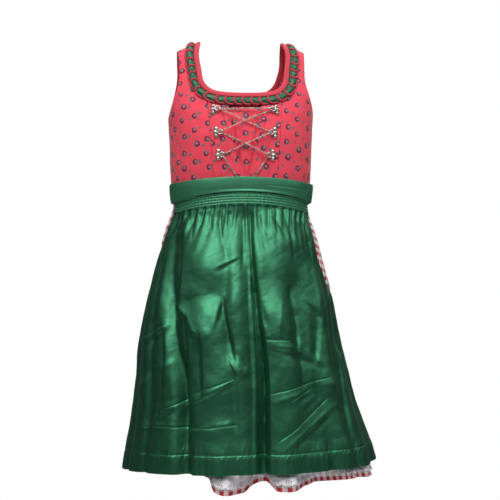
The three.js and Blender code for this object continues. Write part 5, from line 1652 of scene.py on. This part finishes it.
# A torus, or an oval one with a half length and a half width to the middle of its wire.
def torusShape(centre, halves, minor, rings=36, sides=10):
    lon, lat = fullTurn(rings)[:, None], fullTurn(sides)[None, :]
    thick = minor * np.cos(lat)
    points = np.stack([(halves[0] + thick) * np.cos(lon), (halves[1] + thick) * np.sin(lon),
                       minor * np.sin(lat) + 0 * lon], -1)
    return points.reshape(-1, 3) + np.array(centre), closedGridFaces(rings, sides)


# A cast hook: three fluted lobes with a bead on each, a stalk and a round eye towards the centre.
def makeHooks():
    h = lacing
    for name, x, ring, z in h["rows"]:
        for label, side in (("left", -1), ("right", 1)):
            reach = abs(x - ring)
            base, radius, outer = h["base"], h["ringRadius"], h["outerLobe"]
            parts = []
            for y in (h["spread"], -h["spread"]):
                parts += [
                    domeShape((0, y, base), (h["lobe"], h["lobe"], 2.3), lobes=6, depth=0.07),
                    domeShape((0, y, base + 1.9), (1.15, 1.15, 0.9)),
                    torusShape((0, y, base + 1.1), (1.95, 1.95), 0.33),
                ]
            parts += [
                domeShape((side * 0.8, 0, base), (outer, outer * 0.92, 2.5), lobes=7, depth=0.06),
                domeShape((side, 0, base + 2.1), (1.35, 1.35, 0.9)),
                torusShape((side * 0.8, 0, base + 1.3), (2.2, 2.2), 0.33),
                domeShape((-side * (reach - radius) / 2, 0, 2.2), (reach / 2 - 0.6, 0.95, 2.0)),
                torusShape((-side * reach, 0, h["ringHeight"]), (radius, radius), h["ringWire"] * 1.05, 48, 12),
            ]
            points, faces, start = [], [], 0
            for partPoints, partFaces in parts:
                points.append(partPoints)
                faces.append(partFaces + start)
                start += len(partPoints)
            points, faces = np.vstack(points), np.vstack(faces)
            origin, right, up, out = frontBasis(np.float64(side * x), np.float64(z))
            world = origin + points[:, :1] * right + points[:, 1:2] * up + points[:, 2:] * out
            piece = meshPiece(f"hook_{name}_{label}_cast", world, faces, points[faces][..., :2], silverCast)
            dress(piece, [f"hook_{name}_{label}"])
    print("hooks made")


# The chain's route: over the inner side of each ring, down through it and on underneath.
def chainRoute():
    top, middle, bottom = lacing["rows"]
    rise = lacing["ringWire"] + lacing["chainRadius"] + lacing["clear"]
    over, under = lacing["ringHeight"] + rise, lacing["ringHeight"] - rise

    def spot(x, z, height):
        origin, _, _, out = frontBasis(np.float64(x), np.float64(z))
        return origin + out * height

    def throughRing(row, side, start, end):
        centre = np.array([side * row[2], row[3]])
        f, t = unit(np.array(start) - centre), unit(np.array(end) - centre)
        rim = lacing["ringRadius"]
        far = rim + lacing["leadIn"]
        return [
            spot(*(centre + f * far), over - 0.2), spot(*(centre + f * rim), over),
            spot(*(centre - (f + t) * 0.45), lacing["ringHeight"]), spot(*(centre + t * rim), under),
            spot(*(centre + t * far), under + 0.1)]

    def ringOf(row, side):
        return side * row[2], row[3]

    leftEnd, rightEnd = lacing["ends"]
    turn = lacing["endTurn"]
    return np.array([
        spot(leftEnd[0] + turn, leftEnd[1] - 6, 1.5), spot(*leftEnd, 1.6),
        spot(leftEnd[0] - turn, leftEnd[1] + 6, 1.7),
        *throughRing(bottom, -1, leftEnd, ringOf(middle, 1)),
        spot(0, (middle[3] + bottom[3]) / 2, 1.5),
        *throughRing(middle, 1, ringOf(bottom, -1), ringOf(top, -1)),
        spot(0, (middle[3] + top[3]) / 2, 1.5),
        *throughRing(top, -1, ringOf(middle, 1), ringOf(top, 1)),
        spot(0, top[3] + 0.6, 2.2),
        *throughRing(top, 1, ringOf(top, -1), ringOf(middle, -1)),
        spot(0, (middle[3] + top[3]) / 2, 4.4),
        *throughRing(middle, -1, ringOf(top, 1), ringOf(bottom, 1)),
        spot(0, (middle[3] + bottom[3]) / 2, 4.4),
        *throughRing(bottom, 1, ringOf(middle, -1), rightEnd),
        spot(rightEnd[0] + turn, rightEnd[1] + 6, 1.7), spot(*rightEnd, 1.6),
        spot(rightEnd[0] - turn, rightEnd[1] - 6, 1.5)])


# Real links: flat ovals of wire one step apart, each turned a quarter round the route from the last.
def makeChain():
    path = smoothPath(chainRoute(), lacing["routeSteps"])
    lengths = lengthsAlong(path)
    count = int(lengths[-1] / lacing["linkStep"])
    goals = (np.arange(count) + 0.5) * lengths[-1] / count
    places, ahead, behind = (np.stack([np.interp(goals + step, lengths, path[:, k]) for k in range(3)], -1)
                             for step in (0, 0.5, -0.5))
    along = unit(ahead - behind)
    out = frontBasis(places[:, 0], places[:, 2])[3]
    side = unit(np.cross(along, out))
    out = np.cross(side, along)
    turn = (np.arange(count) % 2 * 0.5 + 0.25) * math.pi
    wide = side * np.cos(turn)[:, None] + out * np.sin(turn)[:, None]
    thin = np.cross(along, wide)
    wire = lacing["linkWire"] / 2
    halves = lacing["linkLong"] - wire, lacing["linkWide"] - wire
    shape, faces = torusShape((0, 0, 0), halves, wire, lacing["linkRings"], lacing["linkSides"])
    axes = np.stack([along, wide, thin], 1)
    piece = scatterPiece("lacing_chain_links", shape, faces, places, axes, silverChain)
    dress(piece, ["lacing_chain"])
    print("chain made,", count, "links")


makeHooks()
makeChain()

studio = {
    "floor": -1.12, "floorReach": 1.5, "world": 0.05, "front": 0.105, "sky": 0.35,
    # lamps as name, place, size and power, all aimed at one point of the dress's middle line
    "lamps": [
        ("key", (-0.75, -1.7, 1.7), (1.5, 1.1), 50),
        ("fill", (0.9, -1.8, 1.6), (1.4, 1.0), 25),
        ("left", (-2.3, -0.9, 0.9), (1.0, 1.0), 2.5),
        ("right", (2.3, -0.8, 0.9), (1.0, 1.0), 6),
        ("top", (0.1, 0.3, 1.9), (1.4, 1.4), 12),
        ("back", (0.8, 2.4, 0.8), (1.8, 1.8), 34),
    ],
    "aim": (0, 0, -0.35),
    "lens": 99,
    "sensor": 36,
    "camera": (-0.2148, -2.1895, -0.3328),
}


# A pale floor that fades out, a world that is white to the camera and lights softly from the front and above,
# lamps, and the camera.
def makeStudio():
    bpy.ops.mesh.primitive_circle_add(vertices=96, radius=studio["floorReach"], fill_type="NGON",
                                      location=(0, 0, studio["floor"]))
    floor = bpy.context.object
    floor.name = "floor"
    material, board, shader, _ = newMaterial("pale floor", 0.9, Base_Color=(0.86, 0.86, 0.86, 1))
    place = board.put("ShaderNodeTexCoord").outputs["Object"]
    reach = board.vector("LENGTH", place)
    fade = board.range(reach, studio["floorReach"], studio["floorReach"] * 0.45)
    board.tree.links.new(fade, shader.inputs["Alpha"])
    floor.data.materials.append(material)
    world = scene.world or bpy.data.worlds.new("studio")
    scene.world = world
    world.use_nodes = True
    background = world.node_tree.nodes.get("Background")
    background.inputs["Color"].default_value = (1, 1, 1, 1)
    board = NodeBoard(world.node_tree)
    toCamera = board.put("ShaderNodeLightPath").outputs["Is Camera Ray"]
    looking = board.parts(board.put("ShaderNodeNewGeometry").outputs["Incoming"])
    ahead = board.math("POWER", board.math("MAXIMUM", looking[1], 0.0), 2.0)
    above = board.range(looking[2], -0.1, -0.8)
    soft = board.plus(board.times(ahead, studio["front"]), board.times(above, studio["sky"]))
    lit = board.plus(soft, studio["world"])
    strength = board.math("MULTIPLY_ADD", board.minus(1.0, toCamera), lit, toCamera)
    world.node_tree.links.new(strength, background.inputs["Strength"])
    for name, place, size, power in studio["lamps"]:
        light = bpy.data.lights.new(name, "AREA")
        light.shape = "RECTANGLE"
        light.size, light.size_y = size
        light.energy = power
        lamp = bpy.data.objects.new(name, light)
        scene.collection.objects.link(lamp)
        lamp.location = place
        aim = np.array(studio["aim"]) - np.array(place)
        tilt = math.acos(-aim[2] / np.linalg.norm(aim))
        lamp.rotation_euler = (tilt, 0, math.atan2(aim[1], aim[0]) - math.pi / 2)
    camera = bpy.data.cameras.new("camera")
    camera.lens = studio["lens"]
    camera.sensor_width = studio["sensor"]
    viewer = bpy.data.objects.new("camera", camera)
    scene.collection.objects.link(viewer)
    viewer.location = studio["camera"]
    viewer.rotation_euler = (math.pi / 2, 0, -math.radians(view["turn"]))
    scene.camera = viewer
    scene.view_settings.view_transform = "Standard"
    print("studio made")


makeStudio()
